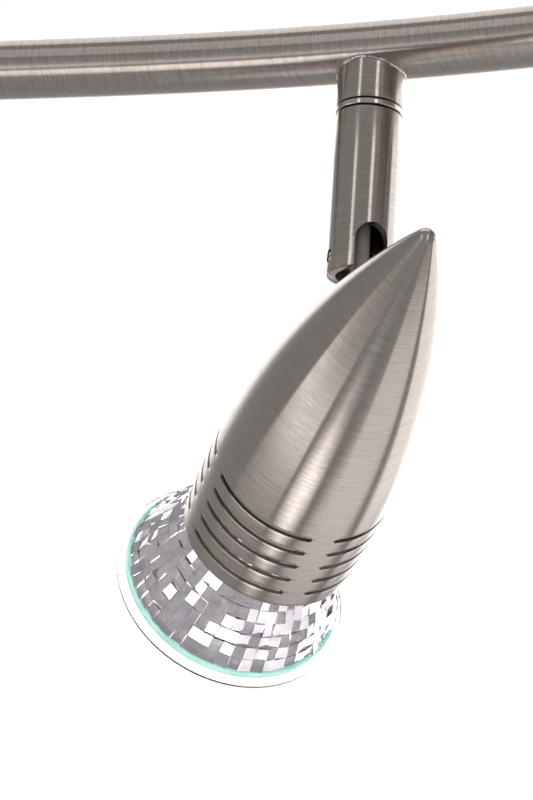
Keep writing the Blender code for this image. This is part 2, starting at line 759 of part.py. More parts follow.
# ---------------------------------------------------------------- head shell with its vent slots
def head_shell(number, axis, frame):
    nose = [
        (NOSE_RADIUS * math.sin(angle), NOSE_RADIUS * (math.cos(angle) - 1))
        for angle in (math.radians(25), math.radians(50), math.radians(66))
    ]
    stations = [HEAD_LENGTH * share for share in (0.06, 0.14, 0.26, 0.40, 0.56, 0.74, 0.88, 1.0)]
    outer = [(flank(u), -u) for u in stations]
    inner = [(radius - SHELL_WALL, height) for radius, height in reversed(outer[1:])]
    made = turned(
        f"head_shell_{number}",
        [(0, 0), *nose, *outer, *inner, (0, -stations[0])],
        NICKEL,
        steps=SHELL_SIDES,
        parent=axis,
    )
    bm = bmesh.new()
    for row in range(VENT_ROWS):
        u = VENT_FIRST + row * VENT_PITCH
        top = VENT_HEIGHT / 2 - u
        outside, inside = flank(u) + 3 * SHELL_WALL, flank(u) - 4 * SHELL_WALL
        rings = [(outside, top), (outside, top - VENT_HEIGHT)]
        rings += [(inside, top - VENT_HEIGHT), (inside, top)]
        points = [bm.verts.new((radius, 0, height)) for radius, height in rings]
        for index, point in enumerate(points):
            bm.edges.new((point, points[(index + 1) % 4]))
    vents = add(f"vents_{number}", mesh_from(bm, f"vents_{number}"), None, parent=axis)
    screw = vents.modifiers.new("turn", "SCREW")
    screw.steps = SHELL_SIDES
    screw.render_steps = SHELL_SIDES
    screw.use_merge_vertices = True
    screw.merge_threshold = 0.00001
    for index in range(VENT_GROUPS // 2):
        web = block(
            f"vent_web_{index}_{number}",
            (4 * HEAD_RADIUS, VENT_WEB, HEAD_LENGTH),
            None,
            (0, 0, -HEAD_LENGTH),
            parent=axis,
            rotation=(0, 0, VENT_CLOCK + 180 * index / (VENT_GROUPS // 2)),
        )
        boolean(vents, web)
    boolean(made, vents)
    foot_hole = rod(
        f"foot_hole_{number}",
        STUD_RADIUS + GAP,
        ARM_TOP,
        -KNUCKLE_REACH + BOSS_RADIUS / 2,
        None,
        parent=frame,
    )
    boolean(made, foot_hole)


# ---------------------------------------------------------------- lampholder on its bracket
def arm_height(u):
    """Distance of the arm's underside from the head's axis, at a distance u behind the nose."""
    tangent = flank(FOOT_AT) + math.tan(FOOT_SLOPE) * (u - FOOT_AT)
    return tangent + (ARM_TOP + KNUCKLE_REACH - SHEET) / math.cos(FOOT_SLOPE)


def lampholder(number, axis, frame, lamp_axis):
    ends = (-HOLDER_FRONT, -HOLDER_BACK)
    made = rod(f"lampholder_{number}", HOLDER_RADIUS, *ends, CERAMIC, steps=24, parent=axis)
    pin_way = PIN_RADIUS + GAP
    track = tube(
        f"pin_track_{number}",
        PIN_SPACING / 2 + pin_way,
        PIN_SPACING / 2 - pin_way,
        -PIN_LENGTH - HOLDER_PLAY,
        2 * GAP,
        None,
        parent=lamp_axis,
    )
    boolean(made, track)
    plate_low = -HOLDER_BACK + GAP
    plate_middle = (0, 0, plate_low + SHEET / 2)
    half = HOLDER_SCREW_AT + 2 * HOLDER_SCREW_RADIUS
    bracket = block(f"holder_bracket_{number}", (2 * half, 2 * half, SHEET), ZINC, plate_middle, parent=axis)
    rise = arm_height(HOLDER_BACK) + SHEET / 2
    riser = block(
        f"bracket_riser_{number}",
        (rise, 2 * BOSS_RADIUS, SHEET),
        None,
        (-rise / 2, 0, plate_middle[2]),
        parent=axis,
    )
    arm = block(
        f"bracket_arm_{number}",
        (ARM_LENGTH + BOSS_RADIUS, 2 * BOSS_RADIUS, SHEET),
        None,
        ((BOSS_RADIUS - ARM_LENGTH) / 2, 0, ARM_TOP - SHEET / 2),
        parent=frame,
    )
    arm_hole = (STUD_RADIUS + GAP, STUD_END, ARM_TOP + SHEET)
    arm_hole = rod(f"arm_hole_{number}", *arm_hole, None, parent=frame)
    cable_hole = rod(f"cable_hole_{number}", SLEEVE_RADIUS + GAP, -HOLDER_BACK, 0, None, parent=axis)
    boolean(bracket, riser, "UNION")
    boolean(bracket, arm, "UNION")
    boolean(bracket, arm_hole)
    boolean(bracket, cable_hole)
    for side, label in ((-1, "left"), (1, "right")):
        at = (0, side * HOLDER_SCREW_AT, -HOLDER_BACK)
        hole = rod(
            f"holder_screw_hole_{label}_{number}",
            HOLDER_SCREW_RADIUS + GAP,
            -HOLDER_SCREW_DEPTH - GAP,
            2 * SHEET,
            None,
            steps=TINY,
            parent=axis,
            location=at,
        )
        boolean(made, hole)
        boolean(bracket, hole)
        under = SHEET + 2 * GAP
        turned(
            f"holder_screw_{label}_{number}",
            [
                (0, under + HOLDER_SCREW_RADIUS),
                (2 * HOLDER_SCREW_RADIUS, under + HOLDER_SCREW_RADIUS),
                (2 * HOLDER_SCREW_RADIUS, under),
                (HOLDER_SCREW_RADIUS, under),
                (HOLDER_SCREW_RADIUS, -HOLDER_SCREW_DEPTH),
                (0, -HOLDER_SCREW_DEPTH),
            ],
            ZINC,
            steps=TINY,
            parent=axis,
            location=at,
        )
    pivot = Vector((-AXIS_OFFSET, 0, -NOSE_ABOVE_PIVOT))
    inward = Vector((math.cos(FOOT_SLOPE), 0, -math.sin(FOOT_SLOPE)))
    straight = [pivot + inward * along for along in (SLEEVE_PARTING, KNUCKLE_REACH, -STUD_END)]
    turn_in = straight[-1] + inward * 2 * SLEEVE_RADIUS
    mouth = Vector((0, 0, -HOLDER_BACK + GAP))
    lead_in = mouth + Vector((0, 0, 4 * SLEEVE_RADIUS))
    half_way = (turn_in + lead_in) / 2 + Vector((SLEEVE_RADIUS, 0, SLEEVE_RADIUS)) / 2
    cord(
        f"sleeve_lower_{number}",
        [*straight, turn_in, half_way, lead_in, mouth],
        SLEEVE_RADIUS,
        FIBRE,
        parent=axis,
    )


# ---------------------------------------------------------------- the heads, one by one
def lamp(number, lamp_axis):
    """The reflector lamp: -Z points out of its front, the pin tips are at Z = 0."""
    front = -LAMP_LENGTH
    turned(
        f"front_glass_{number}",
        [
            (0, front + GLASS_THICKNESS),
            (LAMP_RADIUS - GLASS_EDGE, front + GLASS_THICKNESS),
            (LAMP_RADIUS, front + GLASS_THICKNESS - GLASS_EDGE),
            (LAMP_RADIUS, front + GLASS_EDGE),
            (LAMP_RADIUS - GLASS_EDGE, front),
            (0, front),
        ],
        GLASS,
        steps=ROUND,
        parent=lamp_axis,
    )
    rim = front + GLASS_THICKNESS + GAP
    neck = front + BOWL_DEPTH

    def bowl_radius(share):
        return math.sqrt(BOWL_EDGE_RADIUS**2 - BOWL_FALL * share)

    low = rim + BOWL_RIM_HEIGHT
    shares = (1.0, 0.88, 0.68, 0.40, 0.0)
    outer = [(bowl_radius(share), low + share * (neck - low)) for share in shares]
    inner = [(radius - BOWL_WALL, height) for radius, height in reversed(outer[1:])]
    hole = CAPSULE_RADIUS + GAP
    turned(
        f"lamp_bowl_{number}",
        [
            (hole, neck),
            *outer,
            (BOWL_RIM_RADIUS, low),
            (BOWL_RIM_RADIUS, rim),
            (BOWL_RIM_RADIUS - 2 * BOWL_WALL, rim),
            *inner,
            (BOWL_NECK_RADIUS - BOWL_WALL, neck - BOWL_WALL),
            (hole, neck - BOWL_WALL),
        ],
        MIRROR,
        closed=True,
        steps=SHELL_SIDES,
        parent=lamp_axis,
    )
    base = rod(
        f"lamp_base_{number}",
        LAMP_BASE_RADIUS,
        neck + GAP,
        front + BASE_BACK,
        CERAMIC,
        steps=24,
        parent=lamp_axis,
    )
    for side in (-1, 1):
        pin = rod(
            f"lamp_pin_{side}_{number}",
            PIN_RADIUS,
            front + BASE_BACK - GAP,
            0,
            None,
            steps=TINY,
            parent=lamp_axis,
            location=(side * PIN_SPACING / 2, 0, 0),
        )
        boolean(base, pin, "UNION")
    turned(
        f"capsule_{number}",
        [
            (0, neck),
            (CAPSULE_RADIUS, neck),
            (CAPSULE_RADIUS, front + CAPSULE_AT + CAPSULE_RADIUS),
            (CAPSULE_RADIUS * 0.7, front + CAPSULE_AT + CAPSULE_RADIUS * 0.3),
            (0, front + CAPSULE_AT),
        ],
        GLASS,
        steps=TINY,
        parent=lamp_axis,
    )


def head(number, side, pan, tilt, lean):
    x = side * HEAD_SPACING / 2
    pan_axis = empty(f"pan_axis_{number}", (x, wave(x), STEM_BOTTOM), (0, 0, pan))
    swivel(number, pan_axis)
    stem(number, pan_axis)
    tilt_axis = empty(f"tilt_axis_{number}", (0, 0, PIVOT_HEIGHT), (0, 90 - tilt, 0), pan_axis)
    axis = empty(f"head_axis_{number}", (AXIS_OFFSET, 0, NOSE_ABOVE_PIVOT), parent=tilt_axis)
    frame = knuckle(number, tilt_axis, axis)
    head_shell(number, axis, frame)
    lamp_axis = empty(f"lamp_axis_{number}", (0, 0, -LAMP_TIP_AT), (*lean, 0), axis)
    lampholder(number, axis, frame, lamp_axis)
    lamp(number, lamp_axis)


for settings in HEADS:
    head(**settings)
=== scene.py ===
import json
import math
import random

import bmesh
import bpy
from mathutils import Matrix, Vector


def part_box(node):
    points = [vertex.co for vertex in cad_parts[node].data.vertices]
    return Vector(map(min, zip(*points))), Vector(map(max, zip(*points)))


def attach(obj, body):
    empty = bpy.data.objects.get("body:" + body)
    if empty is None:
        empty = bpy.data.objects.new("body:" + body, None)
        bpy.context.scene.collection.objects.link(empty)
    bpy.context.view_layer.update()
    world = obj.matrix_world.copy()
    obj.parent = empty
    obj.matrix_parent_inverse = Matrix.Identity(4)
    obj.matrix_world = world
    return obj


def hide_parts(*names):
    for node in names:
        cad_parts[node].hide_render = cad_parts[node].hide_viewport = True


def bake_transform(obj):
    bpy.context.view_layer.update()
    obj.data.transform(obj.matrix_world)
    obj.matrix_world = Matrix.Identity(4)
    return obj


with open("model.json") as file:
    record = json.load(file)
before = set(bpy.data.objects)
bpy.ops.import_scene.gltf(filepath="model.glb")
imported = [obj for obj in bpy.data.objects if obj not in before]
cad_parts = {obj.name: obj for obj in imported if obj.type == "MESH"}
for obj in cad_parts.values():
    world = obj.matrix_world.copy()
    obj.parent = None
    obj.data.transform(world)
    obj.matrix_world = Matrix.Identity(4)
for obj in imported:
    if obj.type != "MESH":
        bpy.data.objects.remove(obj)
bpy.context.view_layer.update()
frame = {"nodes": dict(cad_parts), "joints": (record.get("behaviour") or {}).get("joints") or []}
print("frame loaded:", len(frame["nodes"]), "nodes")

fit = {"gap": 0.0003, "bore": 0.0050}  # clearance between touching pieces, bore round a nipple


# ---- materials
def linear(hexColour):
    channels = [int(hexColour[at : at + 2], 16) / 255 for at in (1, 3, 5)]
    return [c / 12.92 if c <= 0.04045 else ((c + 0.055) / 1.055) ** 2.4 for c in channels] + [1.0]


def addNode(tree, kind, settings, links=None):
    node = tree.nodes.new("ShaderNode" + kind)
    for key, value in settings.items():
        if isinstance(key, int) or key in node.inputs:
            node.inputs[key].default_value = value
        else:
            setattr(node, key, value)
    for key, socket in (links or {}).items():
        tree.links.new(socket, node.inputs[key])
    return node


def newMaterial(name):
    made = bpy.data.materials.new(name)
    made.use_nodes = True
    tree = made.node_tree
    tree.nodes.clear()
    return made, tree


def setRamp(node, stops, blend="LINEAR"):
    ramp = node.color_ramp
    ramp.interpolation = blend
    while len(ramp.elements) > 1:
        ramp.elements.remove(ramp.elements[-1])
    ramp.elements[0].position = stops[0][0]
    ramp.elements[0].color = stops[0][1]
    for place, colour in stops[1:]:
        ramp.elements.new(place).color = colour
    return node


nickel = {
    "light": "#bbb2ac",
    "dark": "#a0978f",
    "roughness": 0.21,
    "roughnessSpread": 0.06,
    "anisotropy": 0.94,
    "lineSpacing": 0.00030,  # emery lines are nearer 0.05 mm; drawn coarser so that they show
    "lineReach": 0.9,  # how slowly a line changes along its groove
    "lineDepth": 0.0000006,
    "cloudSize": 0.009,
}


def brushedNickel(name, **changes):
    # satin nickel plate, brushed across the mesh's U direction: highlights smear into long soft streaks
    look = {**nickel, **changes}
    made, tree = newMaterial(name)
    uv = addNode(tree, "UVMap", {"uv_map": "grooves"})
    parts = addNode(tree, "SeparateXYZ", {}, {"Vector": uv.outputs["UV"]})
    turn = addNode(tree, "Math", {"operation": "MULTIPLY", 1: 2 * math.pi}, {0: parts.outputs["Y"]})
    cosine = addNode(tree, "Math", {"operation": "COSINE"}, {0: turn.outputs[0]})
    sine = addNode(tree, "Math", {"operation": "SINE"}, {0: turn.outputs[0]})
    wrapped = addNode(
        tree,
        "CombineXYZ",
        {},
        {"X": parts.outputs["X"], "Y": cosine.outputs[0], "Z": sine.outputs[0]},
    )
    lineScale = addNode(
        tree,
        "VectorMath",
        {"operation": "MULTIPLY", 1: (1 / look["lineSpacing"], 1 / look["lineReach"], 1 / look["lineReach"])},
        {0: wrapped.outputs[0]},
    )
    lines = addNode(
        tree,
        "TexNoise",
        {"Scale": 1.0, "Detail": 3.0, "Roughness": 0.65},
        {"Vector": lineScale.outputs[0]},
    )
    scratchScale = addNode(
        tree,
        "VectorMath",
        {"operation": "MULTIPLY", 1: (0.35 / look["lineSpacing"], 9.0, 9.0)},
        {0: wrapped.outputs[0]},
    )
    scratches = addNode(
        tree,
        "TexNoise",
        {"Scale": 1.0, "Detail": 4.0, "Roughness": 0.7},
        {"Vector": scratchScale.outputs[0]},
    )
    cloudScale = addNode(
        tree,
        "VectorMath",
        {"operation": "MULTIPLY", 1: (1 / look["cloudSize"], 1.6, 1.6)},
        {0: wrapped.outputs[0]},
    )
    clouds = addNode(
        tree,
        "TexNoise",
        {"Scale": 1.0, "Detail": 3.0, "Roughness": 0.5},
        {"Vector": cloudScale.outputs[0]},
    )
    shade = addNode(
        tree,
        "MapRange",
        {"From Min": 0.3, "From Max": 0.7, "To Min": 0.0, "To Max": 1.0},
        {"Value": lines.outputs["Fac"]},
    )
    smoky = addNode(
        tree,
        "Mix",
        {"data_type": "FLOAT", "Factor": 0.35},
        {2: shade.outputs[0], 3: clouds.outputs["Fac"]},
    )
    colour = addNode(
        tree,
        "Mix",
        {"data_type": "RGBA", 6: linear(look["dark"]), 7: linear(look["light"])},
        {0: smoky.outputs[0]},
    )
    rough = addNode(
        tree,
        "MapRange",
        {
            "From Min": 0.3,
            "From Max": 0.7,
            "To Min": look["roughness"] - look["roughnessSpread"] / 2,
            "To Max": look["roughness"] + look["roughnessSpread"] / 2,
        },
        {"Value": scratches.outputs["Fac"]},
    )
    bump = addNode(
        tree,
        "Bump",
        {"Strength": 1.0, "Distance": look["lineDepth"]},
        {"Height": lines.outputs["Fac"]},
    )
    tangent = addNode(tree, "Tangent", {"direction_type": "UV_MAP", "uv_map": "grooves"})
    shader = addNode(
        tree,
        "BsdfPrincipled",
        {"Metallic": 1.0, "Anisotropic": look["anisotropy"], "Anisotropic Rotation": 0.0},
        {
            "Base Color": colour.outputs[2],
            "Roughness": rough.outputs[0],
            "Normal": bump.outputs[0],
            "Tangent": tangent.outputs[0],
        },
    )
    addNode(tree, "OutputMaterial", {}, {"Surface": shader.outputs[0]})
    return made


def grained(name, colours, roughness, scale, depth, metallic=0.0, detail=4.0, shaderSettings=None):
    # a cast, plated or moulded surface: two tones in a fine grain, with a little relief
    made, tree = newMaterial(name)
    place = addNode(tree, "TexCoord", {})
    grain = addNode(
        tree,
        "TexNoise",
        {"Scale": 1 / scale, "Detail": detail, "Roughness": 0.6},
        {"Vector": place.outputs["Object"]},
    )
    colour = setRamp(
        addNode(tree, "ValToRGB", {}, {"Fac": grain.outputs["Fac"]}),
        [(0.3 + 0.4 * at / (len(colours) - 1), linear(tone)) for at, tone in enumerate(colours)],
    )
    rough = addNode(
        tree,
        "MapRange",
        {"From Min": 0.3, "From Max": 0.7, "To Min": roughness[0], "To Max": roughness[1]},
        {"Value": grain.outputs["Fac"]},
    )
    bump = addNode(tree, "Bump", {"Strength": 0.8, "Distance": depth}, {"Height": grain.outputs["Fac"]})
    shader = addNode(
        tree,
        "BsdfPrincipled",
        {"Metallic": metallic, **(shaderSettings or {})},
        {"Base Color": colour.outputs[0], "Roughness": rough.outputs[0], "Normal": bump.outputs[0]},
    )
    addNode(tree, "OutputMaterial", {}, {"Surface": shader.outputs[0]})
    return made


def clearGlass(name, tint, roughness, transmission):
    # pressed soda glass: clear, a little green where it is thick, with faint waves from the mould
    made, tree = newMaterial(name)
    place = addNode(tree, "TexCoord", {})
    waves = addNode(
        tree,
        "TexNoise",
        {"Scale": 160.0, "Detail": 1.0, "Roughness": 0.4},
        {"Vector": place.outputs["Object"]},
    )
    bump = addNode(tree, "Bump", {"Strength": 0.3, "Distance": 0.00002}, {"Height": waves.outputs["Fac"]})
    colour = setRamp(
        addNode(tree, "ValToRGB", {}, {"Fac": waves.outputs["Fac"]}),
        [(0.3, linear(tint[0])), (0.7, linear(tint[1]))],
    )
    shader = addNode(
        tree,
        "BsdfPrincipled",
        {"Roughness": roughness, "IOR": 1.22, "Transmission Weight": transmission},
        {"Base Color": colour.outputs[0], "Normal": bump.outputs[0]},
    )
    addNode(tree, "OutputMaterial", {}, {"Surface": shader.outputs[0]})
    return made


def wovenSleeve(name):
    # glass-fibre yarns braided at 45 degrees, 0.4 mm apart: a matt olive grey with pale crossing ribs
    made, tree = newMaterial(name)
    braid = {"yarns": 14, "pitch": 0.0046}
    uv = addNode(tree, "UVMap", {"uv_map": "grooves"})
    parts = addNode(tree, "SeparateXYZ", {}, {"Vector": uv.outputs["UV"]})
    around = addNode(tree, "Math", {"operation": "MULTIPLY", 1: braid["yarns"]}, {0: parts.outputs["Y"]})
    perMetre = braid["yarns"] / 2 / braid["pitch"]
    along = addNode(tree, "Math", {"operation": "MULTIPLY", 1: perMetre}, {0: parts.outputs["X"]})
    rising = addNode(tree, "Math", {"operation": "ADD"}, {0: around.outputs[0], 1: along.outputs[0]})
    falling = addNode(tree, "Math", {"operation": "SUBTRACT"}, {0: around.outputs[0], 1: along.outputs[0]})
    ribs = []
    for slope in (rising, falling):
        phase = addNode(tree, "Math", {"operation": "MULTIPLY", 1: 2 * math.pi}, {0: slope.outputs[0]})
        wave = addNode(tree, "Math", {"operation": "COSINE"}, {0: phase.outputs[0]})
        ribs.append(wave)
    weave = addNode(tree, "Math", {"operation": "MAXIMUM"}, {0: ribs[0].outputs[0], 1: ribs[1].outputs[0]})
    place = addNode(tree, "TexCoord", {})
    fuzz = addNode(
        tree,
        "TexNoise",
        {"Scale": 2500.0, "Detail": 3.0, "Roughness": 0.7},
        {"Vector": place.outputs["Object"]},
    )
    mixed = addNode(
        tree,
        "Mix",
        {"data_type": "FLOAT", "Factor": 0.35},
        {2: weave.outputs[0], 3: fuzz.outputs["Fac"]},
    )
    colour = setRamp(
        addNode(tree, "ValToRGB", {}, {"Fac": mixed.outputs[0]}),
        [(0.0, linear("#4b4f45")), (0.55, linear("#8b8f80")), (1.0, linear("#c3c5b6"))],
    )
    bump = addNode(tree, "Bump", {"Strength": 0.9, "Distance": 0.00012}, {"Height": mixed.outputs[0]})
    shader = addNode(
        tree,
        "BsdfPrincipled",
        {"Roughness": 0.75, "Sheen Weight": 0.25, "Sheen Roughness": 0.4},
        {"Base Color": colour.outputs[0], "Normal": bump.outputs[0]},
    )
    addNode(tree, "OutputMaterial", {}, {"Surface": shader.outputs[0]})
    return made


satinTurned = brushedNickel("satin_nickel_turned")
satinHead = brushedNickel("satin_nickel_spun_shell", lineSpacing=0.00026, cloudSize=0.007)
satinBar = brushedNickel("satin_nickel_drawn_bar", roughness=0.24, lineSpacing=0.00045)
# the washer is the same nickel plate, given lighter colours than the other nickel pieces: painted light for the
# brightness it catches
washerNickelPaintedLight = brushedNickel("satin_nickel_washer_painted_light", roughness=0.2, light="#d5cec9", dark="#b5aca7")
brightBead = grained(  # bright solder bead left along the joint
    "solder_bead", ["#9a938e", "#e8e4e0"], (0.12, 0.3), 0.0006, 0.00002, metallic=1.0
)
platedZinc = grained(  # bright zinc plate: bluish grey with cloudy passivation
    "zinc_plated_steel", ["#8f9496", "#b9bdbd", "#c9c7bd"], (0.28, 0.46), 0.004, 0.000008, metallic=1.0
)
turnedBrass = grained(  # free-cutting brass: yellow, dulled in patches by handling
    "turned_brass", ["#a8833f", "#c9a35c", "#d8b873"], (0.22, 0.4), 0.003, 0.000006, metallic=1.0
)
steatite = grained(  # pressed and fired steatite: dead matt off-white with fine grit
    "unglazed_steatite", ["#cfc8b8", "#e4dfd2", "#efebe0"], (0.62, 0.8), 0.0007, 0.00003
)
mouldedNylon = grained(  # milky moulded nylon with a faint mould texture
    "moulded_nylon", ["#d9d7cf", "#e6e4dc"], (0.4, 0.52), 0.0008, 0.00001
)
siliconeCable = grained(  # soft silicone insulation: off-white and slightly waxy
    "silicone_insulation", ["#cdc9bd", "#dcd9ce"], (0.42, 0.55), 0.0015, 0.00001
)
lensGlass = clearGlass("pressed_lens_glass", ["#f4fbf9", "#ffffff"], 0.01, 1.0)
rimGlass = clearGlass("pressed_rim_glass", ["#a9ded5", "#c6ebe4"], 0.12, 0.35)
quartz = clearGlass("quartz_capsule", ["#f2f4f6", "#ffffff"], 0.03, 0.9)
braidedSleeve = wovenSleeve("braided_glass_fibre")


def reflectorMirror(name):
    # dichroic coat on pressed glass: a mirror with a cool cast that still lets a fifth of the light through
    made, tree = newMaterial(name)
    place = addNode(tree, "TexCoord", {})
    haze = addNode(
        tree,
        "TexNoise",
        {"Scale": 180.0, "Detail": 3.0, "Roughness": 0.6},
        {"Vector": place.outputs["Object"]},
    )
    colour = setRamp(
        addNode(tree, "ValToRGB", {}, {"Fac": haze.outputs["Fac"]}),
        [(0.35, linear("#dcd6dc")), (0.65, linear("#f1ecf0"))],
    )
    rough = addNode(
        tree,
        "MapRange",
        {"From Min": 0.3, "From Max": 0.7, "To Min": 0.03, "To Max": 0.10},
        {"Value": haze.outputs["Fac"]},
    )
    shader = addNode(
        tree,
        "BsdfPrincipled",
        {"Metallic": 0.80, "Transmission Weight": 1.0},
        {"Base Color": colour.outputs[0], "Roughness": rough.outputs[0]},
    )
    addNode(tree, "OutputMaterial", {}, {"Surface": shader.outputs[0]})
    return made


mirrorCoat = reflectorMirror("vapour_coated_reflector")
print("materials ready")


# ---- mesh helpers
def ringMesh(name, rings, loop=False):
    # skins a run of closed rings; a ring of one point is a pole. U runs across the rings and V round them
    mesh = bpy.data.meshes.new(name)
    points, starts = [], []
    for ring in rings:
        starts.append(len(points))
        points.extend(tuple(point) for point in ring)
    along = [0.0]
    for before, after in zip(rings, rings[1:]):
        along.append(along[-1] + (Vector(after[0]) - Vector(before[0])).length)
    faces, uvs = [], []
    pairs = list(zip(range(len(rings)), range(1, len(rings))))
    if loop:
        pairs.append((len(rings) - 1, 0))
    for first, second in pairs:
        count = max(len(rings[first]), len(rings[second]))
        ends = (along[first], along[second] if second else along[first] + 0.001)
        for at in range(count):
            here, there = at / count, (at + 1) / count
            low = [starts[first] + at % len(rings[first]), starts[first] + (at + 1) % len(rings[first])]
            high = [starts[second] + at % len(rings[second]), starts[second] + (at + 1) % len(rings[second])]
            if len(rings[first]) == 1:
                faces.append((low[0], high[1], high[0]))
                uvs.extend([(ends[0], here), (ends[1], there), (ends[1], here)])
            elif len(rings[second]) == 1:
                faces.append((low[0], low[1], high[0]))
                uvs.extend([(ends[0], here), (ends[0], there), (ends[1], here)])
            else:
                faces.append((low[0], low[1], high[1], high[0]))
                uvs.extend([(ends[0], here), (ends[0], there), (ends[1], there), (ends[1], here)])
    mesh.from_pydata(points, [], faces)
    layer = mesh.uv_layers.new(name="grooves")
    layer.data.foreach_set("uv", [number for pair in uvs for number in pair])
    return mesh


def rounded(corners, steps=4):
    # softens the corners of a (radius, height, fillet) profile
    profile = []
    for at, (radius, height, fillet) in enumerate(corners):
        corner = Vector((radius, height))
        if not fillet or at in (0, len(corners) - 1):
            profile.append(corner)
            continue
        before = Vector(corners[at - 1][:2]) - corner
        after = Vector(corners[at + 1][:2]) - corner
        start = corner + before.normalized() * min(fillet, before.length * 0.49)
        stop = corner + after.normalized() * min(fillet, after.length * 0.49)
        for step in range(steps + 1):
            t = step / steps
            profile.append(start * (1 - t) ** 2 + corner * 2 * t * (1 - t) + stop * t**2)
    return profile


def revolve(name, profile, sides=96, loop=False):
    rings = []
    for radius, height in profile:
        if radius < 1e-7:
            rings.append([(0, 0, height)])
        else:
            turns = (2 * math.pi * at / sides for at in range(sides))
            rings.append([(radius * math.cos(turn), radius * math.sin(turn), height) for turn in turns])
    return ringMesh(name, rings, loop)


def joined(name, meshes):
    # several closed shells as one piece
    mesh = bpy.data.meshes.new(name)
    points, faces, uvs = [], [], []
    for part in meshes:
        start = len(points)
        points.extend(tuple(vertex.co) for vertex in part.vertices)
        faces.extend(tuple(start + index for index in polygon.vertices) for polygon in part.polygons)
        layer = part.uv_layers.get("grooves")
        uvs.extend(tuple(item.uv) for item in layer.data)
    mesh.from_pydata(points, [], faces)
    mesh.uv_layers.new(name="grooves").data.foreach_set("uv", [number for pair in uvs for number in pair])
    return mesh


def outward(mesh):
    # turns every face of a closed mesh outwards
    work = bmesh.new()
    work.from_mesh(mesh)
    bmesh.ops.recalc_face_normals(work, faces=work.faces)
    work.to_mesh(mesh)
    work.free()


def settle(piece):
    # bakes a piece's cuts and bevels, then clears the slivers, flaps, gaps and stray points they leave
    bpy.context.view_layer.update()
    mesh = bpy.data.meshes.new_from_object(piece.evaluated_get(bpy.context.evaluated_depsgraph_get()))
    work = bmesh.new()
    work.from_mesh(mesh)
    bmesh.ops.dissolve_degenerate(work, edges=work.edges, dist=0.0000005)
    opened = [face for face in work.faces if any(edge.is_boundary for edge in face.edges)]
    flaps = [face for face in opened if any(len(edge.link_faces) > 2 for edge in face.edges)]
    bmesh.ops.delete(work, geom=flaps, context="FACES")
    bmesh.ops.holes_fill(work, edges=[edge for edge in work.edges if edge.is_boundary], sides=0)
    bmesh.ops.delete(work, geom=[point for point in work.verts if not point.link_faces], context="VERTS")
    work.to_mesh(mesh)
    work.free()
    piece.modifiers.clear()
    piece.data = mesh


def place(name, mesh, material, body, slotName, replaced=(), matrix=None, sharp=35, cuts=(), bevel=0.0):
    # puts a finished mesh in the row frame, cuts and bevels it, and hands it to its body
    outward(mesh)
    if matrix:
        mesh.transform(matrix)
    mesh.materials.append(material)
    piece = bpy.data.objects.new(name, mesh)
    bpy.context.scene.collection.objects.link(piece)
    for cutter in cuts:
        cut = piece.modifiers.new("cut", "BOOLEAN")
        cut.object = cutter
        cut.operation = "DIFFERENCE"
        cut.solver = "EXACT"
    if bevel:
        edge = piece.modifiers.new("edge", "BEVEL")
        edge.width = bevel
        edge.segments = 2
        edge.limit_method = "ANGLE"
        edge.angle_limit = math.radians(55)
    if cuts or bevel:
        settle(piece)
        for cutter in cuts:
            bpy.data.objects.remove(cutter)
    piece.data.shade_smooth()
    piece.data.set_sharp_from_angle(angle=math.radians(sharp))
    if replaced:
        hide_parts(*replaced)
    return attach(piece, body)


def pegCutter(radius, low, high, matrix, sides=32):
    mesh = revolve("cutter", [(0, low), (radius, low), (radius, high), (0, high)], sides)
    outward(mesh)
    mesh.transform(matrix)
    cutter = bpy.data.objects.new("cutter", mesh)
    bpy.context.scene.collection.objects.link(cutter)
    return cutter


def boxCutter(size, centre, matrix):
    corners = [(x, y, z) for x in (-0.5, 0.5) for y in (-0.5, 0.5) for z in (-0.5, 0.5)]
    points = [tuple(c * s + m for c, s, m in zip(corner, size, centre)) for corner in corners]
    faces = [(0, 1, 3, 2), (4, 6, 7, 5), (0, 4, 5, 1), (2, 3, 7, 6), (0, 2, 6, 4), (1, 5, 7, 3)]
    mesh = bpy.data.meshes.new("cutter")
    mesh.from_pydata(points, [], faces)
    outward(mesh)
    mesh.transform(matrix)
    cutter = bpy.data.objects.new("cutter", mesh)
    bpy.context.scene.collection.objects.link(cutter)
    return cutter


def slotted(name, profile, material, body, slotName, node, matrix, slot, depth, cross=False):
    # a screw head with a driver slot, or a cross recess
    top = max(height for radius, height in profile)
    cuts = [boxCutter((4 * profile[1][0] if not cross else cross, slot, 2 * depth), (0, 0, top), matrix)]
    if cross:
        cuts.append(boxCutter((slot, cross, 2 * depth), (0, 0, top), matrix))
    return place(name, revolve(name, profile, 40), material, body, slotName, [node], matrix, cuts=cuts)


# ---- the bar: a drawn oval tube bent into a shallow S
bar = {"length": 0.400, "width": 0.020, "height": 0.011, "wall": 0.0012, "swing": 0.0075, "wave": 0.200}
barLow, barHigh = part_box("bar")
barZ = (barLow.z + barHigh.z) / 2


def waveAt(x):
    return -bar["swing"] * math.sin(math.pi * x / bar["wave"])


def waveAngle(x):
    return math.atan(-bar["swing"] * math.pi / bar["wave"] * math.cos(math.pi * x / bar["wave"]))


def ovalRing(x, halfWidth, halfHeight, sides=72, shift=0.0, at=None):
    # an oval ring square to the bar's run; shift moves it along the run
    angle = waveAngle(x if at is None else at)
    start = Vector((x, waveAt(x), barZ)) + Vector((math.cos(angle), math.sin(angle), 0)) * shift
    side = Vector((-math.sin(angle), math.cos(angle), 0))
    turns = [2 * math.pi * (step + 0.5) / sides for step in range(sides)]
    return [start + side * halfWidth * math.cos(t) + Vector((0, 0, halfHeight * math.sin(t))) for t in turns]


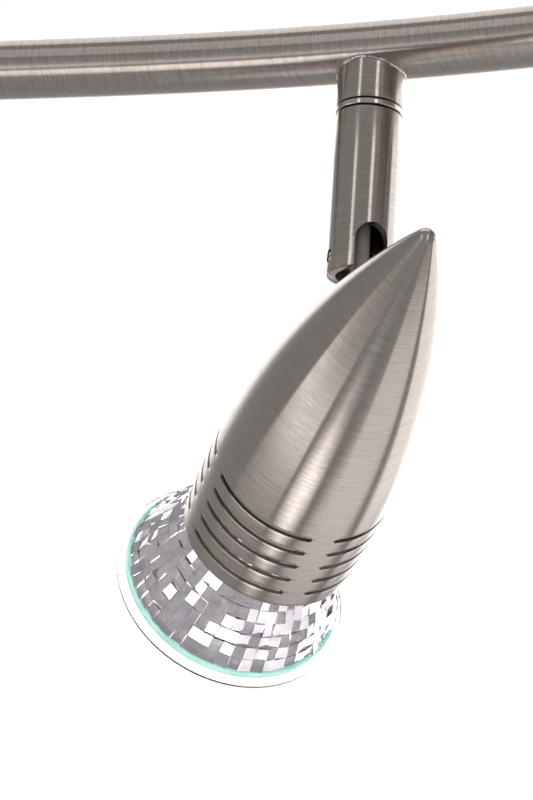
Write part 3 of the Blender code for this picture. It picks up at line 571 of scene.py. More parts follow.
def makeBar():
    stations = 160
    run = [bar["length"] * (step / stations - 0.5) for step in range(stations + 1)]
    outer = [ovalRing(x, bar["width"] / 2, bar["height"] / 2) for x in run]
    halfWidth, halfHeight = bar["width"] / 2 - bar["wall"], bar["height"] / 2 - bar["wall"]
    inner = [ovalRing(x, halfWidth, halfHeight) for x in reversed(run)]
    bores = []
    for x, low, high in ((-0.1, -0.02, 0), (0.1, -0.02, 0), (-0.02, 0, 0.02), (0.02, 0, 0.02)):
        spot = Matrix.Translation((x, waveAt(x), barZ))  # swivels below the bar, hangers above it
        bores.append(pegCutter(fit["bore"], low, high, spot))
    mesh = ringMesh("barTube", outer + inner, loop=True)
    place("barTube", mesh, satinBar, "fixture", "nickel", ["bar"], sharp=50, cuts=bores)
    face = 0.0015
    for side, label in ((-1, "left"), (1, "right")):
        x = side * bar["length"] / 2
        steps = [  # (share of the full oval, distance out from the bar's end)
            (0.86, -0.0080),
            (0.86, -0.0001),
            (1.0, fit["gap"]),
            (1.0, fit["gap"] + face * 0.45),
            (0.985, fit["gap"] + face * 0.72),
            (0.95, fit["gap"] + face * 0.90),
            (0.88, fit["gap"] + face * 0.98),
            (0.70, fit["gap"] + face),
            (0.35, fit["gap"] + face),
        ]
        rings = [
            ovalRing(x, share * bar["width"] / 2, share * bar["height"] / 2, shift=side * out)
            for share, out in steps
        ]
        middle = [[sum(rings[at], Vector()) / len(rings[at])] for at in (0, -1)]
        mesh = ringMesh("endCap", [middle[0]] + rings + [middle[1]])
        place(f"endCap_{label}", mesh, satinTurned, "fixture", "nickel", [f"end_cap_{label}"])


makeBar()
print("bar ready")


def saddleTube(name, centre, radius, bore, flat, upwards, edge=0.0005):
    # a tube whose one end is flat and whose other end is scribed to the bar's oval
    sides = 144
    angle = waveAngle(centre.x)
    across = Vector((-math.sin(angle), math.cos(angle)))
    halfWidth = bar["width"] / 2 + 0.00004
    halfHeight = bar["height"] / 2 + 0.00004
    sign = -1 if upwards else 1  # upwards: the scribed end is on top, under the bar

    def scribed(r, turn):
        offset = r * (math.cos(turn) * across.x + math.sin(turn) * across.y)
        return barZ + sign * halfHeight * math.sqrt(1 - (offset / halfWidth) ** 2)

    def ring(r, heightAt):
        turns = [2 * math.pi * step / sides for step in range(sides)]
        return [(centre.x + r * math.cos(t), centre.y + r * math.sin(t), heightAt(r, t)) for t in turns]

    inward = -sign  # from the flat end towards the bar
    rings = [ring(radius, scribed)]
    for share in (0.75, 0.5, 0.25):
        rings.append(ring(radius, lambda r, t, s=share: flat + (scribed(r, t) - flat) * s))
    rings.append(ring(radius, lambda r, t: flat + inward * edge))
    rings.append(ring(radius - edge * 0.25, lambda r, t: flat + inward * edge * 0.3))
    rings.append(ring(radius - edge, lambda r, t: flat))
    rings.append(ring(bore, lambda r, t: flat))
    rings.append(ring(bore, scribed))
    mesh = ringMesh(name, rings, loop=True)
    beadRings = []  # the bead of filler along the scribed edge
    thickness = 0.00028
    for step in range(sides):
        turn = 2 * math.pi * step / sides
        wobble = 1 + 0.25 * math.sin(5 * turn + 1.3) * math.sin(11 * turn)
        spot = Vector(
            (
                centre.x + (radius + 0.00008) * math.cos(turn),
                centre.y + (radius + 0.00008) * math.sin(turn),
                scribed(radius, turn) - inward * 0.00005,
            )
        )
        out = Vector((math.cos(turn), math.sin(turn), 0))
        beadRings.append(
            [
                spot + out * thickness * wobble * math.cos(a) + Vector((0, 0, thickness * wobble * math.sin(a)))
                for a in (2 * math.pi * k / 10 for k in range(10))
            ]
        )
    return mesh, ringMesh(name + "Bead", beadRings, loop=True)


# ---- the canopy, its two screws and the two hangers
canopy = {"radius": 0.045, "depth": 0.022, "wall": 0.0010, "edge": 0.004}


def makeCanopy():
    r, d, w, e = canopy["radius"], canopy["depth"], canopy["wall"], canopy["edge"]
    corners = [
        (0, -d + w, 0),
        (0.010, -d + w, 0),
        (r - w, -d + w, e - w),
        (r - w, 0, 0),
        (r, 0, 0.0002),
        (r, -d, e),
        (0.010, -d, 0),
        (0, -d, 0),
    ]
    profile = rounded(corners, steps=10)
    holes = []
    for number in (1, 2):
        low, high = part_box(f"hanger_spacer_{number}")
        x = (low.x + high.x) / 2
        holes.append(pegCutter(fit["bore"], -2 * d, -d / 2, Matrix.Translation((x, waveAt(x), 0))))
    for label in ("front", "back"):
        low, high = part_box(f"canopy_screw_{label}")
        spot = Matrix.Translation(((low.x + high.x) / 2, (low.y + high.y) / 2, 0))
        holes.append(pegCutter(0.0021, -2 * d, -d / 2, spot))
    mesh = revolve("canopyCup", profile, 160)
    place("canopyCup", mesh, satinTurned, "fixture", "nickel", ["canopy"], sharp=40, cuts=holes)
    for label, side in (("front", -1), ("back", 1)):
        low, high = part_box(f"canopy_screw_{label}")
        x, y = (low.x + high.x) / 2, (low.y + high.y) / 2
        head = (high.x - low.x) / 2
        under = -d - fit["gap"]
        dome = [(0, high.z), (0.0018, high.z), (0.0018, under), (head, under), (head, under - 0.0004)]
        dome += [(head * math.cos(a), under - 0.0004 - 0.0016 * math.sin(a)) for a in (0.3, 0.6, 0.9, 1.2)]
        dome.append((0, under - 0.0020))
        flip = Matrix.Translation((x, y, 0)) @ Matrix.Rotation(math.pi, 4, "X")
        turnedUp = [(radius, -height) for radius, height in dome]
        slotted(
            f"canopyScrew_{label}",
            turnedUp,
            satinTurned,
            "fixture",
            "nickel",
            f"canopy_screw_{label}",
            flip,
            slot=0.0011,
            depth=0.0010,
            cross=0.0042,
        )
    for number in (1, 2):
        low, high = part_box(f"hanger_spacer_{number}")
        centre = (low + high) / 2
        centre = Vector((centre.x, waveAt(centre.x), 0))
        tube, bead = saddleTube("hanger", centre, 0.007, 0.005, high.z, upwards=False)
        place(f"hangerSpacer_{number}", tube, satinTurned, "fixture", "nickel", [f"hanger_spacer_{number}"])
        place(f"hangerBead_{number}", bead, brightBead, "fixture", "nickel")


makeCanopy()
print("canopy ready")

# ---- the heads
head = {
    "length": 0.0972,
    "radius": 0.0193,
    "ogive": 0.175,
    "widest": 0.077,
    "tail": 0.360,
    "nose": 0.0023,
    "noseEnd": 0.0058,
    "wall": 0.0009,
    "reach": 0.0085,
    "foot": 0.0369,
}
vents = {
    "rows": 5,
    "groups": 4,
    "first": 0.0748,
    "pitch": 0.0045,
    "height": 0.0012,
    "web": 0.0049,
    "clock": 8.5,
}
stem = {
    "radius": 0.007,
    "wall": 0.002,
    "length": 0.0358,
    "slotWidth": 0.007,
    "slotTop": 0.0098,
    "pivot": 0.0035,
}
lamp = {
    "length": 0.0540,
    "tips": 0.0670,
    "radius": 0.02535,
    "glass": 0.0015,
    "rim": 0.0240,
    "rimHeight": 0.0016,
    "neck": 0.0095,
    "wall": 0.0013,
    "columns": 54,
    "rowLength": 0.0031,
    "tilt": 11.0,
}
heads = (
    {"number": 1, "pan": -52.7, "tilt": 21.7, "lean": (-0.7, 4.3)},
    {"number": 2, "pan": -127.3, "tilt": 21.7, "lean": (-0.7, 4.3)},
)


def flank(u):
    # outer radius of the shell at a distance u behind the nose
    if u >= head["widest"]:
        return head["radius"] - head["tail"] + math.sqrt(head["tail"] ** 2 - (u - head["widest"]) ** 2)
    return head["radius"] - head["ogive"] + math.sqrt(head["ogive"] ** 2 - (head["widest"] - u) ** 2)


footSlope = math.atan(
    (head["widest"] - head["foot"]) / math.sqrt(head["ogive"] ** 2 - (head["widest"] - head["foot"]) ** 2)
)
axisOffset = flank(head["foot"]) + head["reach"] * math.cos(footSlope)
noseAbovePivot = head["foot"] - head["reach"] * math.sin(footSlope)


def noseProfile():
    # the spun nose: a small ball that runs tangent into the flank
    radius = head["nose"]
    points = []
    for step in range(9):
        angle = math.radians(66) * step / 8
        points.append((radius * math.sin(angle), radius * (1 - math.cos(angle))))
    end = points[-1][1]
    for step in range(1, 7):  # the ball runs straight into the flank
        u = end + (head["noseEnd"] - end) * step / 7
        points.append((flank(u), u))
    return points


def ventColumns():
    # angles round the shell, with a column for each end of each slot, and which cells are open
    columns, openCells = [], []
    web = vents["web"] / head["radius"]
    span = 2 * math.pi / vents["groups"]
    end = vents["height"] / 2 / head["radius"]
    for group in range(vents["groups"]):
        start = math.radians(vents["clock"]) + span * group + web / 2
        stop = start + span - web
        here = [(start, "startEdge")]
        here += [(start + end * k / 2, "start") for k in (1, 2)]
        inner = 18
        here += [(start + end + (stop - start - 2 * end) * k / inner, "open") for k in range(1, inner)]
        here += [(stop - end * k / 2, "stop") for k in (2, 1)]
        here.append((stop, "stopEdge"))
        here += [(stop + web * k / 4, "web") for k in (1, 2, 3)]
        columns += here
    for at, (angle, kind) in enumerate(columns):
        openCells.append(kind not in ("stopEdge", "web"))
    return columns, openCells


def makeShell(number, matrix):
    columns, openCells = ventColumns()
    end = vents["height"] / 2 / head["radius"]
    rows = [(radius, u, None) for radius, u in noseProfile()]
    firstSlot = vents["first"] - vents["height"] / 2
    plain = 34
    for step in range(plain + 1):
        u = head["noseEnd"] + (firstSlot - 0.0006 - head["noseEnd"]) * step / plain
        rows.append((flank(u), u, None))
    slotSteps = 6
    for row in range(vents["rows"]):
        middle = vents["first"] + row * vents["pitch"]
        for step in range(slotSteps + 1):
            sweep = math.pi * step / slotSteps
            u = middle - vents["height"] / 2 * math.cos(sweep)
            rows.append((flank(u), u, math.sin(sweep)))
        if row < vents["rows"] - 1:
            for share in (0.2, 0.5, 0.8):
                gap = vents["pitch"] - vents["height"]
                u = middle + vents["height"] / 2 + gap * share
                rows.append((flank(u), u, None))
    last = rows[-1][1]
    for share in (0.2, 0.5, 0.8, 1.0):
        u = last + (head["length"] - last) * share
        rows.append((flank(u), u, None))
    points, faces, uvs = [(0, 0, 0)], [], []
    count = len(columns)
    along, before = [0.0], (0.0, 0.0)
    for radius, u, slotShare in rows[1:]:
        along.append(along[-1] + math.hypot(radius - before[0], u - before[1]))
        before = (radius, u)
        for angle, kind in columns:
            if slotShare is not None:  # the slot's ends are half round
                if kind == "startEdge":
                    angle += end * (1 - slotShare)
                elif kind == "start":
                    angle += end * (1 - slotShare) * 0.5
                elif kind == "stopEdge":
                    angle -= end * (1 - slotShare)
                elif kind == "stop":
                    angle -= end * (1 - slotShare) * 0.5
            points.append((radius * math.cos(angle), radius * math.sin(angle), -u))
    for at in range(count):
        after = (at + 1) % count
        faces.append((0, 1 + at, 1 + after))
        uvs += [(0, at / count), (along[1], at / count), (along[1], (at + 1) / count)]
    for line in range(1, len(rows) - 1):
        low, high = 1 + (line - 1) * count, 1 + line * count
        inSlot = rows[line][2] is not None and rows[line + 1][2] is not None
        for at in range(count):
            if inSlot and openCells[at]:
                continue
            after = (at + 1) % count
            faces.append((low + at, high + at, high + after, low + after))
            here, there = at / count, (at + 1) / count
            uvs += [
                (along[line], here),
                (along[line + 1], here),
                (along[line + 1], there),
                (along[line], there),
            ]
    mesh = bpy.data.meshes.new("shell")
    mesh.from_pydata(points, [], faces)
    mesh.uv_layers.new(name="grooves").data.foreach_set("uv", [n for pair in uvs for n in pair])
    outward(mesh)
    mesh.transform(matrix)
    mesh.materials.append(satinHead)
    shell = bpy.data.objects.new(f"headShell_{number}", mesh)
    bpy.context.scene.collection.objects.link(shell)
    thick = shell.modifiers.new("wall", "SOLIDIFY")
    thick.thickness = head["wall"]
    thick.offset = -1
    edge = shell.modifiers.new("edge", "BEVEL")
    edge.width = 0.00010
    edge.segments = 2
    edge.limit_method = "ANGLE"
    edge.angle_limit = math.radians(55)
    settle(shell)
    shell.data.shade_smooth()
    shell.data.set_sharp_from_angle(angle=math.radians(40))
    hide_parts(f"head_shell_{number}")
    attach(shell, f"head_{number}")


def makeStem(number, pan):
    # a slotted tube: an upper field down to the arch, and a lower one beside the slot
    outer, inner = stem["radius"], stem["radius"] - stem["wall"]
    half, top, length = stem["slotWidth"] / 2, stem["slotTop"], stem["length"]
    spring = top - half
    edge = 0.0006
    archSteps, sideSteps = 16, 40

    def angles(radius):
        limit = math.asin(half / radius)
        arch = [
            math.asin(half * math.sin(math.pi / 2 * k / archSteps) / radius)
            for k in range(-archSteps, archSteps + 1)
        ]
        rest = [limit + (2 * math.pi - 2 * limit) * k / sideSteps for k in range(1, sideSteps)]
        return arch + rest

    archHeights = [
        spring + half * math.cos(math.pi / 2 * k / archSteps) for k in range(-archSteps, archSteps + 1)
    ]
    count = 2 * archSteps + sideSteps
    openings = set(range(2 * archSteps))
    points, faces, uvs = [], [], []

    def row(radius, heights):
        start = len(points)
        for angle, height in zip(angles(radius), heights):
            points.append((radius * math.cos(angle), radius * math.sin(angle), height))
        return start

    split = [archHeights[at] if at <= 2 * archSteps else spring for at in range(count)]

    def level(height):
        return [height] * count

    def between(share):
        return [low + (length - edge - low) * share for low in split]

    layers = []  # (ring start, ring heights for U, is below the arch)
    for radius, heights, below in (
        (outer - edge, level(0.0), True),
        (outer - edge * 0.30, level(edge * 0.30), True),
        (outer, level(edge), True),
        (outer, level(spring * 0.5), True),
        (outer, split, False),
        (outer, between(0.02), False),
        (outer, between(0.08), False),
        (outer, between(0.3), False),
        (outer, between(0.65), False),
        (outer, between(1.0), False),
        (outer - edge * 0.30, level(length - edge * 0.30), False),
        (outer - edge, level(length), False),
        (inner, level(length), False),
        (inner, between(0.5), False),
        (inner, split, True),
        (inner, level(0.0), True),
    ):
        layers.append((row(radius, heights), heights, below))
    total = len(layers)
    travel = 0.0
    for at in range(total):
        start, heights, below = layers[at]
        nextStart, nextHeights, nextBelow = layers[(at + 1) % total]
        across = heights is not None and at in (0, total - 1)
        lowPart = (below and at < 5) or (at >= total - 2)
        for column in range(count):
            if lowPart and column in openings:
                continue
            after = (column + 1) % count
            faces.append((start + column, start + after, nextStart + after, nextStart + column))
            here, there = column / count, (column + 1) / count
            u = [heights[column], heights[after], nextHeights[after], nextHeights[column]]
            if across or 9 < at < 13:
                u = [travel, travel, travel + 0.001, travel + 0.001]
            uvs += [(u[0], here), (u[1], there), (u[2], there), (u[3], here)]
        travel += 0.0003
    # the slot's two walls and its arch
    outside = [layers[at][0] for at in range(5)]
    innerSplit, innerLow = layers[total - 2][0], layers[total - 1][0]
    for column, flip in ((0, False), (2 * archSteps, True)):
        edgeLoop = [start + column for start in outside] + [innerSplit + column, innerLow + column]
        turned = list(reversed(edgeLoop)) if flip else list(edgeLoop)
        faces.append(tuple(turned))
        uvs += [(points[index][2], 0.1 * k) for k, index in enumerate(turned)]
    for column in range(2 * archSteps):
        a, b = outside[4] + column, outside[4] + column + 1
        c, d = innerSplit + column + 1, innerSplit + column
        faces.append((a, d, c, b))
        uvs += [(0, 0), (0.002, 0), (0.002, 0.1), (0, 0.1)]
    mesh = bpy.data.meshes.new("stem")
    mesh.from_pydata(points, [], faces)
    mesh.uv_layers.new(name="grooves").data.foreach_set("uv", [n for pair in uvs for n in pair])
    side = pan @ Matrix.Translation((0, 0, stem["pivot"]))
    cuts = [
        pegCutter(0.0014, 0.003, 0.010, side @ Matrix.Rotation(math.radians(-90 * sign), 4, "X")) for sign in (-1, 1)
    ]
    grub = pan @ Matrix.Translation((0, 0, length - 0.006)) @ Matrix.Rotation(math.radians(-90), 4, "Y")
    cuts.append(pegCutter(0.0018, 0.003, 0.010, grub))
    body = f"stem_{number}"
    place(f"stemTube_{number}", mesh, satinTurned, body, "nickel", [f"stem_{number}"], pan, cuts=cuts, bevel=0.00012)
    screwTop = stem["radius"] - fit["gap"]
    for sign, label in ((-1, "left"), (1, "right")):
        turned = side @ Matrix.Rotation(math.radians(-90 * sign), 4, "X")
        profile = [(0, 0.0024), (0.0011, 0.0024), (0.0011, screwTop - 0.0002), (0.0009, screwTop), (0, screwTop)]
        slotted(
            f"pivotScrew_{label}_{number}",
            profile,
            platedZinc,
            body,
            "zinc",
            f"pivot_screw_{label}_{number}",
            turned,
            slot=0.00045,
            depth=0.0005,
        )
    profile = [(0, 0.0045), (0.0015, 0.0045), (0.0015, screwTop - 0.0003), (0.0012, screwTop), (0, screwTop)]
    slotted(
        f"grubScrew_{number}", profile, platedZinc, body, "zinc", f"grub_screw_{number}", grub, slot=0.0005, depth=0.0007
    )


def makeCollar(number, pan):
    low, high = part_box(f"saddle_collar_{number}")
    centre = Vector((pan.translation.x, pan.translation.y, 0))
    tube, bead = saddleTube("collar", centre, stem["radius"], 0.005, low.z, upwards=True, edge=0.0003)
    place(f"saddleCollar_{number}", tube, satinTurned, "fixture", "nickel", [f"saddle_collar_{number}"])
    place(f"saddleBead_{number}", bead, brightBead, "fixture", "nickel")
    low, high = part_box(f"swivel_washer_{number}")
    r, e = stem["radius"], 0.0003
    corners = [(0.005, low.z, 0), (r, low.z, e), (r, high.z, e), (0.005, high.z, 0)]
    shift = Matrix.Translation((centre.x, centre.y, 0))
    mesh = revolve("washer", rounded(corners), 128, loop=True)
    # the washer wears the lighter nickel copy, whose extra brightness is painted light
    place(f"swivelWasher_{number}", mesh, washerNickelPaintedLight, "fixture", "nickel", [f"swivel_washer_{number}"], shift)


def makeKnuckle(number, tiltFrame, headFrame):
    foot = tiltFrame @ Matrix.Rotation(footSlope - math.pi / 2, 4, "Y")
    toHead = headFrame.inverted() @ foot
    sides, radius = 64, 0.0046
    top = -math.hypot(stem["radius"], stem["pivot"]) + fit["gap"]

    def onShell(x, y):
        # depth below the pivot at which a line along the foot meets the shell
        low, high = -0.004, -0.020
        for _ in range(40):
            middle = (low + high) / 2
            spot = toHead @ Vector((x, y, middle))
            if math.hypot(spot.x, spot.y) > flank(-spot.z):
                low = middle
            else:
                high = middle
        return high - 0.0001

    turns = [2 * math.pi * k / sides for k in range(sides)]
    flare = [(radius + 0.0006, 0.0), (radius + 0.0002, 0.00025), (radius, 0.0007)]
    rings = []
    for r, up in flare:
        spots = [(r * math.cos(t), r * math.sin(t)) for t in turns]
        rings.append([(x, y, onShell(x, y) + up) for x, y in spots])
    for r, z in ((radius, top - 0.0004), (radius - 0.0001, top - 0.0001), (radius - 0.0004, top)):
        rings.append([(r * math.cos(t), r * math.sin(t), z) for t in turns])
    bore = 0.0019
    rings.append([(bore * math.cos(t), bore * math.sin(t), top) for t in turns])
    rings.append([(bore * math.cos(t), bore * math.sin(t), -0.016) for t in turns])
    stud = 0.0028
    rings.append([(stud * math.cos(t), stud * math.sin(t), -0.016) for t in turns])
    rings.append([(stud * math.cos(t), stud * math.sin(t), -0.0095) for t in turns])
    boss = ringMesh("boss", rings, loop=True)
    ears = []
    thickness, reach = 0.0012, 0.0025
    for sign in (-1, 1):
        y = sign * (stem["slotWidth"] / 2 - fit["gap"] - thickness / 2)
        outline = [(reach * math.cos(a), reach * math.sin(a)) for a in (math.pi * k / 24 for k in range(25))]
        outline += [(-reach, top - 0.0003), (reach, top - 0.0003)]
        centre = (0.0, 0.0)
        ringSet = []
        for inset, shift in ((0.00015, -0.5), (0.0, -0.5 + 0.12), (0.0, 0.5 - 0.12), (0.00015, 0.5)):
            ring = []
            for x, z in outline:
                way = Vector((x - centre[0], z - centre[1])).normalized()
                ring.append((x - way.x * inset, y + shift * thickness, z - way.y * inset))
            ringSet.append(ring)
        low = [[(0, y - thickness / 2, -0.002)]]
        high = [[(0, y + thickness / 2, -0.002)]]
        ears.append(ringMesh("ear", low + ringSet + high))
    mesh = joined("knuckle", [boss] + ears)
    eyes = [pegCutter(0.0014, -0.007, 0.007, foot @ Matrix.Rotation(math.radians(90), 4, "X"))]
    body = f"head_{number}"
    place(f"knuckleFork_{number}", mesh, satinTurned, body, "nickel", [f"knuckle_{number}"], foot, cuts=eyes)
    return foot


def smoothPath(points, steps=12):
    # a smooth curve through the points
    ends = [points[0], *points, points[-1]]
    path = []
    for before, start, stop, after in zip(ends, ends[1:], ends[2:], ends[3:]):
        for step in range(steps):
            t = step / steps
            path.append(
                0.5
                * (
                    2 * start
                    + (stop - before) * t
                    + (2 * before - 5 * start + 4 * stop - after) * t**2
                    + (3 * start - before - 3 * stop + after) * t**3
                )
            )
    return path + [points[-1]]


def makeSleeve(number, pan, foot, headFrame):
    radius = 0.0017
    pivot = pan @ Vector((0, 0, stem["pivot"]))
    down = (foot.to_3x3() @ Vector((0, 0, -1))).normalized()
    holderBack = headFrame @ Vector((0, 0, -0.0569))
    inward = (headFrame.to_3x3() @ Vector((0, 0, 1))).normalized()
    route = [Vector((pivot.x, pivot.y, barZ)), pivot + Vector((0, 0, 0.030)), pivot + Vector((0, 0, 0.012))]
    route += [pivot + Vector((0, 0, 0.004)), pivot + down * 0.004, pivot + down * 0.0085, pivot + down * 0.0155]
    route += [holderBack + inward * 0.0065, holderBack + inward * 0.0003]
    path = smoothPath(route)
    sides = 24
    rings = []
    normal = (pan.to_3x3() @ Vector((0, 1, 0))).normalized()
    for at, spot in enumerate(path):
        way = (path[min(at + 1, len(path) - 1)] - path[max(at - 1, 0)]).normalized()
        normal = (normal - way * normal.dot(way)).normalized()
        other = way.cross(normal)
        turns = (2 * math.pi * k / sides for k in range(sides))
        rings.append([spot + (normal * math.cos(t) + other * math.sin(t)) * radius for t in turns])
    mesh = ringMesh("sleeve", [[path[0]]] + rings + [[path[-1]]])
    outward(mesh)
    mesh.materials.append(braidedSleeve)
    piece = bpy.data.objects.new(f"braidedSleeve_{number}", mesh)
    bpy.context.scene.collection.objects.link(piece)
    piece.data.shade_smooth()
    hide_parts(f"sleeve_upper_{number}", f"sleeve_lower_{number}")
    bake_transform(piece)


def facetedSkin(rand, meridian, columns):
    # a reflector's skin: every facet is its own small flat mirror, with a narrow step to the next
    rows = len(meridian) - 1
    inset = 0.035
    points, faces, uvs = [], [], []
    corner = {}
    for row in range(rows):
        for column in range(columns):
            shares = (inset, 1 - inset)
            tiltU = math.radians(rand.uniform(-1, 1) * lamp["tilt"])
            tiltV = math.radians(rand.uniform(-1, 1) * lamp["tilt"])
            middle = [(meridian[row][k] + meridian[row + 1][k]) / 2 for k in (0, 1)]
            for i, shareU in enumerate(shares):
                radius = meridian[row][0] * (1 - shareU) + meridian[row + 1][0] * shareU
                height = meridian[row][1] * (1 - shareU) + meridian[row + 1][1] * shareU
                slope = Vector(meridian[row + 1][:2]) - Vector(meridian[row][:2])
                out = Vector((slope.y, -slope.x)).normalized()
                for j, shareV in enumerate(shares):
                    angle = 2 * math.pi * (column + shareV) / columns
                    wide = radius * 2 * math.pi / columns
                    lift = tiltU * (shareU - 0.5) * slope.length + tiltV * (shareV - 0.5) * wide
                    r = radius + out.x * lift
                    z = height + out.y * lift
                    corner[row, column, i, j] = len(points)
                    points.append((r * math.cos(angle), r * math.sin(angle), z))
    for row in range(rows):
        for column in range(columns):
            after = (column + 1) % columns
            here = [corner[row, column, i, j] for i, j in ((0, 0), (0, 1), (1, 1), (1, 0))]
            beside = [corner[row, after, 0, 0], corner[row, after, 1, 0]]
            faces.append(here)
            faces.append([here[1], *beside, here[2]])
            if row < rows - 1:
                faces.append(
                    [here[3], here[2], corner[row + 1, column, 0, 1], corner[row + 1, column, 0, 0]]
                )
                faces.append(
                    [here[2], beside[1], corner[row + 1, after, 0, 0], corner[row + 1, column, 0, 1]]
                )
    first = [corner[0, c, 0, j] for c in range(columns) for j in (0, 1)]
    last = [corner[rows - 1, c, 1, j] for c in range(columns) for j in (0, 1)]
    return points, faces, first, last


def makeLamp(number, lampFrame):
    rand = random.Random(40 + number)
    body = f"lamp_{number}"
    front = -lamp["length"]
    r, g = lamp["radius"], lamp["glass"]
    corners = [
        (0, front + g, 0),
        (r, front + g, 0.0003),
        (r, front, 0.0005),
        (0, front, 0),
    ]
    mesh = revolve("lens", rounded(corners), 128)
    place(f"lampLens_{number}", mesh, lensGlass, body, "glass", [f"front_glass_{number}"], lampFrame, sharp=60)
    rim = front + g + fit["gap"]
    low = rim + lamp["rimHeight"]
    neck = front + bowlDepth
    edgeRadius = lamp["rim"] - 0.0006
    fall = edgeRadius**2 - lamp["neck"] ** 2

    def meridianOf(offset):
        fine = []
        for step in range(401):
            share = step / 400
            fine.append((math.sqrt(edgeRadius**2 - fall * share) - offset, low + share * (neck - low)))
        lengths = [0.0]
        for before, after in zip(fine, fine[1:]):
            lengths.append(lengths[-1] + math.hypot(after[0] - before[0], after[1] - before[1]))
        rows = round(lengths[-1] / lamp["rowLength"])
        picked = []
        for row in range(rows + 1):
            wanted = lengths[-1] * row / rows
            at = min(range(len(lengths)), key=lambda k: abs(lengths[k] - wanted))
            picked.append(fine[at])
        return picked

    outerPoints, outerFaces, outerFirst, outerLast = facetedSkin(rand, meridianOf(0), lamp["columns"])
    innerPoints, innerFaces, innerFirst, innerLast = facetedSkin(rand, meridianOf(lamp["wall"]), lamp["columns"])
    shift = len(outerPoints)
    points = outerPoints + innerPoints
    faces = outerFaces + [[index + shift for index in reversed(face)] for face in innerFaces]
    for outerRing, innerRing in ((outerFirst, innerFirst), (outerLast, innerLast)):
        count = len(outerRing)
        for at in range(count):
            after = (at + 1) % count
            faces.append([outerRing[at], innerRing[at] + shift, innerRing[after] + shift, outerRing[after]])
    bowl = bpy.data.meshes.new("bowl")
    bowl.from_pydata(points, [], faces)
    bowl.uv_layers.new(name="grooves")
    piece = place(f"lampBowl_{number}", bowl, mirrorCoat, body, "reflector", [f"lamp_bowl_{number}"], lampFrame)
    piece.data.shade_flat()
    corners = [
        (lamp["rim"] - 2 * lamp["wall"], rim, 0),
        (lamp["rim"] - 2 * lamp["wall"], low, 0.0002),
        (lamp["rim"], low, 0.0004),
        (lamp["rim"], rim, 0.0003),
        (lamp["rim"] - 2 * lamp["wall"], rim, 0),
    ]
    mesh = revolve("rim", rounded(corners)[:-1], 128, loop=True)
    place(f"lampRim_{number}", mesh, rimGlass, body, "glass", (), lampFrame)
    frame["nodes"][f"capsule_{number}"].data.materials.clear()
    frame["nodes"][f"capsule_{number}"].data.materials.append(quartz)


bowlDepth = 0.0310


def makeHead(number, pan, tilt, lean):
    joint = next(item for item in frame["joints"] if item["name"] == f"tilt_{number}")
    pivot = Vector(joint["pos_m"])
    foot = Matrix.Translation(pivot - Vector((0, 0, stem["pivot"])))
    panFrame = foot @ Matrix.Rotation(math.radians(pan), 4, "Z")
    raised = panFrame @ Matrix.Translation((0, 0, stem["pivot"]))
    tiltFrame = raised @ Matrix.Rotation(math.radians(90 - tilt), 4, "Y")
    headFrame = tiltFrame @ Matrix.Translation((axisOffset, 0, noseAbovePivot))
    turn = Matrix.Rotation(math.radians(lean[1]), 4, "Y") @ Matrix.Rotation(math.radians(lean[0]), 4, "X")
    lampFrame = headFrame @ Matrix.Translation((0, 0, -lamp["tips"])) @ turn
    makeCollar(number, panFrame)
    makeStem(number, panFrame)
    makeShell(number, headFrame)
    foot = makeKnuckle(number, tiltFrame, headFrame)
    makeSleeve(number, panFrame, foot, headFrame)
    makeLamp(number, lampFrame)
    print("head", number, "ready")


for settings in heads:
    makeHead(**settings)


# ---- pieces that keep their solid and get their real finish
def finishNode(node, material, bevel=0.0):
    solid = frame["nodes"][node]
    solid.data.materials.clear()
    solid.data.materials.append(material)
    if bevel:
        edge = solid.modifiers.new("edge", "BEVEL")
        edge.width = bevel
        edge.segments = 2
        edge.limit_method = "ANGLE"
        edge.angle_limit = math.radians(50)


finishNode("ceiling_bracket", platedZinc, 0.00015)
finishNode("terminal_block", mouldedNylon, 0.0006)
finishNode("earth_screw", turnedBrass)
for number in (1, 2):
    finishNode(f"hanger_nipple_{number}", platedZinc)
    finishNode(f"hanger_nut_{number}", turnedBrass, 0.0002)
    finishNode(f"feed_cable_{number}", siliconeCable)
    finishNode(f"saddle_nut_{number}", platedZinc)
    finishNode(f"swivel_nipple_{number}", platedZinc)
    finishNode(f"knuckle_nut_{number}", turnedBrass)
    finishNode(f"holder_bracket_{number}", platedZinc)
    finishNode(f"lampholder_{number}", steatite)
    finishNode(f"lamp_base_{number}", steatite)
    finishNode(f"holder_screw_left_{number}", platedZinc)
    finishNode(f"holder_screw_right_{number}", platedZinc)
print("solids finished")


# ---- studio: grey surround, a few soft boxes, pale floor
studio = {
    "facing": 19.44,  # azimuth of the camera's view, turned left from +Y
    "centre": (-0.08, -0.02, -0.09),  # what the soft boxes point at
    "surround": 0.40,
    "floor": -0.70,
    "floorRadius": 1.1,
}
softBoxes = {  # degrees right of the camera, degrees up, distance, width, height, brightness
    "backWall": (180, 25, 1.5, 2.0, 1.4, 1.6),
    "rightWall": (125, 5, 1.4, 1.5, 1.6, 1.4),
    "lowLeft": (-90, -38, 0.6, 0.12, 0.5, 2.5),
    "underside": (-130, -70, 0.5, 0.15, 0.15, 3.0),
    "frontRight": (20, 5, 1.2, 0.2, 1.3, 1.7),
    "frontLeft": (-40, 5, 1.2, 0.15, 1.2, 1.7),
    "overhead": (180, 80, 1.2, 1.2, 1.2, 1.0),
    "belowRight": (130, -55, 0.55, 0.5, 0.4, 0.9),
}


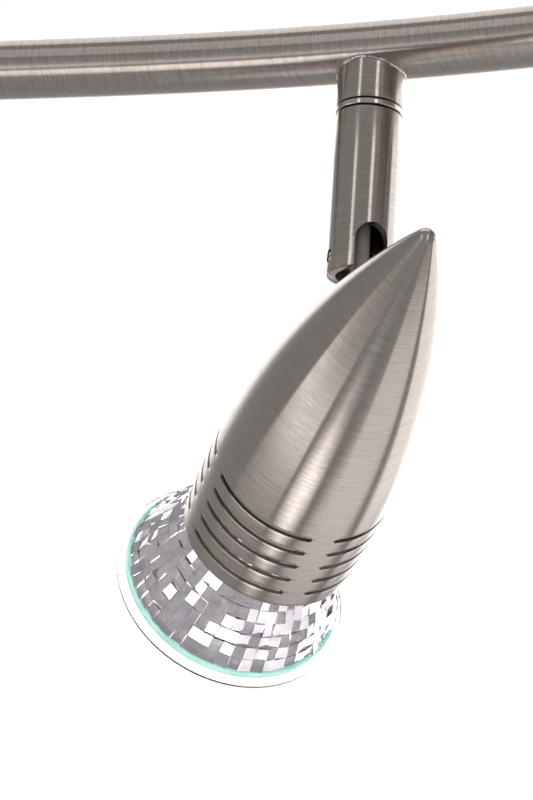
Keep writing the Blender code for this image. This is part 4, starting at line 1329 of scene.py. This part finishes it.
def makeWorld():
    # an even grey in reflections; white past the part, through its glass and as the fill on matt pieces
    world = bpy.data.worlds.new("studio")
    bpy.context.scene.world = world
    world.use_nodes = True
    tree = world.node_tree
    tree.nodes.clear()
    around = addNode(tree, "Background", {"Color": (1, 1, 1, 1), "Strength": studio["surround"]})
    backdrop = addNode(tree, "Background", {"Color": (1, 1, 1, 1), "Strength": 1.0})
    rays = addNode(tree, "LightPath", {})
    seen = addNode(
        tree,
        "Math",
        {"operation": "MAXIMUM"},
        {0: rays.outputs["Is Camera Ray"], 1: rays.outputs["Is Transmission Ray"]},
    )
    plain = addNode(
        tree,
        "Math",
        {"operation": "MAXIMUM"},
        {0: seen.outputs[0], 1: rays.outputs["Is Diffuse Ray"]},
    )
    both = addNode(tree, "MixShader", {}, {0: plain.outputs[0], 1: around.outputs[0], 2: backdrop.outputs[0]})
    addNode(tree, "OutputWorld", {}, {"Surface": both.outputs[0]})


def makeSoftBox(name, right, up, distance, width, height, brightness):
    turn = math.radians(studio["facing"] + right)
    level = Vector((math.sin(turn), -math.cos(turn), 0))
    way = level * math.cos(math.radians(up)) + Vector((0, 0, math.sin(math.radians(up))))
    light = bpy.data.lights.new(name, "AREA")
    light.shape = "RECTANGLE"
    light.size, light.size_y = width, height
    light.energy = brightness * math.pi * width * height
    box = bpy.data.objects.new(name, light)
    box.location = Vector(studio["centre"]) + way * distance
    box.rotation_euler = way.to_track_quat("Z", "Y").to_euler()
    box.visible_camera = False
    bpy.context.scene.collection.objects.link(box)


makeWorld()
for label, setting in softBoxes.items():
    makeSoftBox(label, *setting)


def makeFloor():
    matt = grained("matt_white_floor", ["#f1f0ee", "#f4f3f1"], (0.75, 0.9), 0.01, 0.00005)
    top, wide = studio["floor"], studio["floorRadius"]
    profile = [(0, top), (wide, top), (wide, top - 0.02), (0, top - 0.02)]
    mesh = revolve("studioFloor", profile, 96)
    outward(mesh)
    mesh.materials.append(matt)
    floor = bpy.data.objects.new("studioFloor", mesh)
    bpy.context.scene.collection.objects.link(floor)
    floor.visible_glossy = False  # keeps the undersides from washing out


makeFloor()


def makeCamera():
    # stands 1 m off at the front right, below the bar, looking up
    view = {"place": (0.2145, -0.9357, -0.4833), "yaw": -1.003, "pitch": 20.361, "roll": 3.705, "lens": 235.24}
    data = bpy.data.cameras.new("camera")
    data.sensor_width = 36
    data.lens = view["lens"]
    data.clip_start = 0.02
    data.clip_end = 50
    camera = bpy.data.objects.new("camera", data)
    bpy.context.scene.collection.objects.link(camera)
    yaw, pitch, roll = (math.radians(view[key]) for key in ("yaw", "pitch", "roll"))
    ahead = Vector((math.sin(yaw) * math.cos(pitch), math.cos(yaw) * math.cos(pitch), math.sin(pitch)))
    ahead.rotate(Matrix.Rotation(math.radians(18.44), 3, "Z"))
    level = ahead.cross(Vector((0, 0, 1))).normalized()
    upright = level.cross(ahead)
    right = level * math.cos(roll) + upright * math.sin(roll)
    up = upright * math.cos(roll) - level * math.sin(roll)
    turn = Matrix((right, up, -ahead)).transposed().to_4x4()
    camera.matrix_world = Matrix.Translation(view["place"]) @ turn
    bpy.context.scene.camera = camera
    bpy.context.scene.view_settings.view_transform = "Standard"


makeCamera()
print("studio ready")
